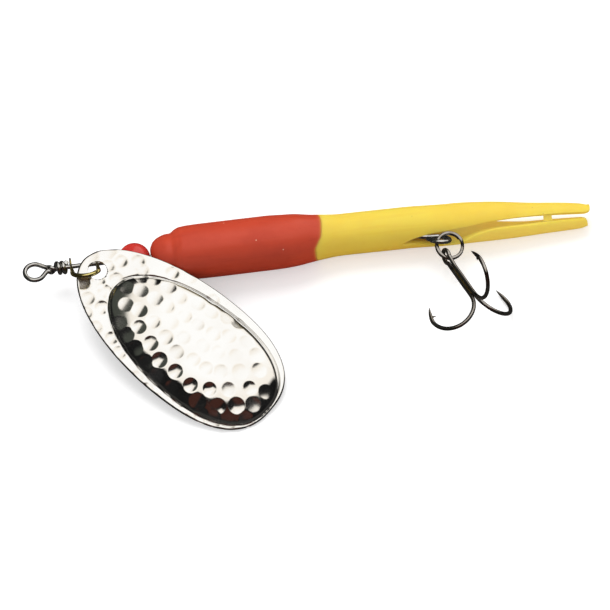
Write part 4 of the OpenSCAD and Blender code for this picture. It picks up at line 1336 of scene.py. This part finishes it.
class SPINNER_OT_treble(bpy.types.Operator):
    """Bend the treble hook: the pair with its eye, the third hook and the braze"""
    bl_idname = "spinner.treble"
    bl_label = "Treble hook"

    SHANK, BEND, POINT, LEAN, EYE_BORE, NECK = 10.8, 4.3, 3.25, 1.0, 1.8, 1.9
    # the filed point: share of its length, share of its lean, share of the wire's radius
    FILED = ((0.25, 0.13, 0.97), (0.55, 0.42, 0.78), (0.8, 0.72, 0.46))
    TIP_RADIUS = 0.025
    # the barb leans back along this way, in the hook's own plane
    BARB_REACH, BARB_WIDE, BARB_THICK, BARB_TIP = (-0.86, 0.34), 0.22, 0.20, 0.012
    BARB_FACE = (0.37, 0.93)

    def shank_at(self, size):
        """How far each shank's middle lies from the hook's axis."""
        return (size + HOOK_GAP) / math.sqrt(3)

    def one_hook(self, size, angle, top):
        """Path and radii from the shank's top to the needle point."""
        shank = self.shank_at(size)
        centre, reach = shank + self.BEND, shank + 2 * self.BEND
        flat = [(shank, top), (shank, self.SHANK * 0.45), (shank, self.SHANK * 0.75)]
        flat += [(centre + self.BEND * math.cos(t), self.SHANK + self.BEND * math.sin(t))
                 for t in np.linspace(math.pi, 0, 19)]
        radii = [size / 2] * len(flat) + [size / 2 * share for _, _, share in self.FILED] + [self.TIP_RADIUS]
        flat += [(reach - lean * self.LEAN, self.SHANK - along * self.POINT) for along, lean, _ in self.FILED]
        flat += [(reach - self.LEAN, self.SHANK - self.POINT)]
        a = math.radians(angle)
        return [(x * math.cos(a), x * math.sin(a), z) for x, z in flat], radii

    def barb(self, size, angle, material):
        """A sliver cut up from the inside of the point, leaning back to the bend."""
        reach = self.shank_at(size) + 2 * self.BEND
        base = np.array([reach - 0.16 * self.LEAN - size * 0.22, self.SHANK - 0.30 * self.POINT])
        tip, way = base + np.array(self.BARB_REACH), unit(self.BARB_FACE)
        a = np.linspace(0, 2 * math.pi, 10, endpoint=False)
        t = math.radians(angle)
        m = np.array([[math.cos(t), -math.sin(t), 0], [math.sin(t), math.cos(t), 0], [0, 0, 1]])
        sections = []
        for u in np.linspace(0, 1, 8):
            x, z = mix(base, tip, u) - np.array([0.05 * math.sin(math.pi * u), 0.0])
            wide = self.BARB_WIDE * (1 - u) ** 0.8 + self.BARB_TIP
            thin = (self.BARB_THICK * (1 - u) + self.BARB_TIP) * np.cos(a)
            flat = np.column_stack([x + thin * way[0], wide * np.sin(a), z + thin * way[1]])
            sections.append(self.placed(flat @ m.T))
        return loft("barb", sections, material)

    def placed(self, points):
        return np.asarray(points) @ turn_matrix(HOOK_TURN).T + np.array(HOOK_EYE)

    def execute(self, context):
        size = sizes()["hook_wire"]
        finish = nickel_finish()
        eye_r = (self.EYE_BORE + size) / 2
        top = eye_r + self.NECK
        first, first_r = self.one_hook(size, HOOK_ANGLES[0], top)
        second, second_r = self.one_hook(size, HOOK_ANGLES[1], top)
        t = math.radians(HOOK_ANGLES[0])
        eye = [(eye_r * math.sin(a) * math.cos(t), eye_r * math.sin(a) * math.sin(t), eye_r * math.cos(a))
               for a in np.radians(np.linspace(48, 312, 19))]
        path = first[::-1] + eye + second
        radii = first_r[::-1] + [size / 2] * len(eye) + second_r
        path, radii = flowing(self.placed(path), radii, 4)
        pair = join([wire("pair", path, radii, finish, 20), self.barb(size, HOOK_ANGLES[0], finish),
                     self.barb(size, HOOK_ANGLES[1], finish)], "treble_pair")
        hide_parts("treble_pair_wire")
        third, third_r = self.one_hook(size, HOOK_ANGLES[2], top)
        # the third hook's shank ends in a cut, slightly rounded
        third = [tuple(np.array(third[0]) - [0, 0, 0.04])] + third
        path, radii = flowing(self.placed(third), [size / 2 - 0.08] + third_r, 4)
        single = join([wire("third", path, radii, finish, 20), self.barb(size, HOOK_ANGLES[2], finish)],
                      "treble_third")
        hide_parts("treble_third_hook")
        braze = self.braze(top)
        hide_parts("treble_braze")
        for piece, slot in ((pair, "hook_nickel"), (single, "hook_nickel"), (braze, "braze_brass")):
            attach(piece, "treble")
        return {"FINISHED"}

    def braze(self, top):
        """Metal drawn into the valleys between the shanks, thinning out at both ends."""
        full, thinning, valley, beads = 0.56, 0.2, 0.04, 0.012
        degrees = np.linspace(0, 360, 60, endpoint=False)
        sections = []
        for u in np.linspace(0, 1, 22):
            z = mix(top + 0.1, self.SHANK - 0.2, u)
            fill = full - thinning * (1 - math.sin(math.pi * min(max(u, 0.02), 0.98)) ** 0.25)
            ring = []
            for d in degrees:
                off = min(abs((d - h + 180) % 360 - 180) for h in HOOK_ANGLES)
                r = fill + valley * math.cos(math.radians(off * 3)) + beads * math.sin(9 * u + d / 20)
                ring.append((r * math.cos(math.radians(d)), r * math.sin(math.radians(d)), z))
            sections.append(self.placed(ring))
        finish = metal("braze_metal", colours().braze, (0.22, 0.14, 0.04), 0.6, 0.42, 900.0, 0.5)
        return loft("braze", sections, finish)


class SPINNER_OT_inner_parts(bpy.types.Operator):
    """Give the hidden weight and sleeve their turned finish"""
    bl_idname = "spinner.inner_parts"
    bl_label = "Weight and sleeve"

    def execute(self, context):
        cast = metal("cast_weight", (0.40, 0.34, 0.20), (0.18, 0.14, 0.08), 0.6, 0.35, 300.0)
        drawn = metal("drawn_sleeve", (0.50, 0.42, 0.20), (0.2, 0.15, 0.07), 0.5, 0.3, 300.0)
        for node, finish in (("body_weight", cast), ("spacer_sleeve", drawn)):
            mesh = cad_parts[node].data
            mesh.materials.clear()
            mesh.materials.append(finish)
        return {"FINISHED"}


# ---- image points ----
def shows_at(point):
    """Where a point in metres shows, in the image points' frame."""
    camera = bpy.context.scene.camera
    bpy.context.view_layer.update()
    data = camera.data
    zoom = data.lens / data.sensor_width
    w, h = IMAGE_SIZE
    size = max(w, h)
    p = camera.matrix_world.inverted() @ Vector(point)
    return (w / 2 - data.shift_x * size + p.x / -p.z * zoom * size,
            h / 2 + data.shift_y * size - p.y / -p.z * zoom * size)


def write_points():
    """Works out where each named thing and the shown pieces' outer edges fall, in pixels; the values are
    neither written nor returned.
    """
    seen = {"tie_eye": (0, 0, 0), "blade_hole": HOLE_CENTRE, "bead": (BEAD_X, 0, 0), "rear_eye": REAR_EYE,
            "split_ring": RING_CENTRE, "hook_eye": HOOK_EYE}
    found = {name: shows_at(np.array(p) * MM) for name, p in seen.items()}
    tip = SPINNER_OT_treble
    shank = (sizes()["hook_wire"] + HOOK_GAP) / math.sqrt(3)
    for name, angle in zip(("point_high", "point_low", "point_right"), HOOK_ANGLES):
        r, a = shank + 2 * tip.BEND - tip.LEAN, math.radians(angle)
        local = np.array([r * math.cos(a), r * math.sin(a), tip.SHANK - tip.POINT])
        found[name] = shows_at((turn_matrix(HOOK_TURN) @ local + np.array(HOOK_EYE)) * MM)
    found["tail_web"] = shows_at(web_centre() * MM)
    edge = np.array([shows_at(v.co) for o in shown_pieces() for v in list(o.data.vertices)[::2]])
    for name, value in (("left_x", edge[:, 0].min()), ("right_x", edge[:, 0].max()),
                        ("top_y", edge[:, 1].min()), ("bottom_y", edge[:, 1].max())):
        found[name] = float(value)


class SPINNER_PT_parts(bpy.types.Panel):
    """Lists the spinner's pieces, sizes and colours"""
    bl_label = "In-line spinner"
    bl_idname = "SPINNER_PT_parts"
    bl_space_type = "VIEW_3D"
    bl_region_type = "UI"
    bl_category = "Spinner"

    def draw(self, context):
        for operator in OPERATORS:
            self.layout.operator(operator.bl_idname)
        for group, kind in ((context.scene.spinner_sizes, SpinnerSizes),
                            (context.scene.spinner_colours, SpinnerColours)):
            for name in kind.__annotations__:
                self.layout.prop(group, name)


OPERATORS = (SPINNER_OT_stage, SPINNER_OT_shaft_wire, SPINNER_OT_clevis, SPINNER_OT_blade, SPINNER_OT_bead,
             SPINNER_OT_tube, SPINNER_OT_split_ring, SPINNER_OT_treble, SPINNER_OT_inner_parts)
CLASSES = (SpinnerSizes, SpinnerColours) + OPERATORS + (SPINNER_PT_parts,)


def register():
    for kind in CLASSES:
        bpy.utils.register_class(kind)
    bpy.types.Scene.spinner_sizes = PointerProperty(type=SpinnerSizes)
    bpy.types.Scene.spinner_colours = PointerProperty(type=SpinnerColours)


def unregister():
    del bpy.types.Scene.spinner_sizes
    del bpy.types.Scene.spinner_colours
    for kind in reversed(CLASSES):
        bpy.utils.unregister_class(kind)


def main():
    register()
    bpy.ops.spinner.stage()
    bpy.ops.spinner.shaft_wire()
    bpy.ops.spinner.clevis()
    bpy.ops.spinner.blade()
    bpy.ops.spinner.bead()
    bpy.ops.spinner.tube()
    bpy.ops.spinner.split_ring()
    bpy.ops.spinner.treble()
    bpy.ops.spinner.inner_parts()
    write_points()


if __name__ == "__main__":
    main()
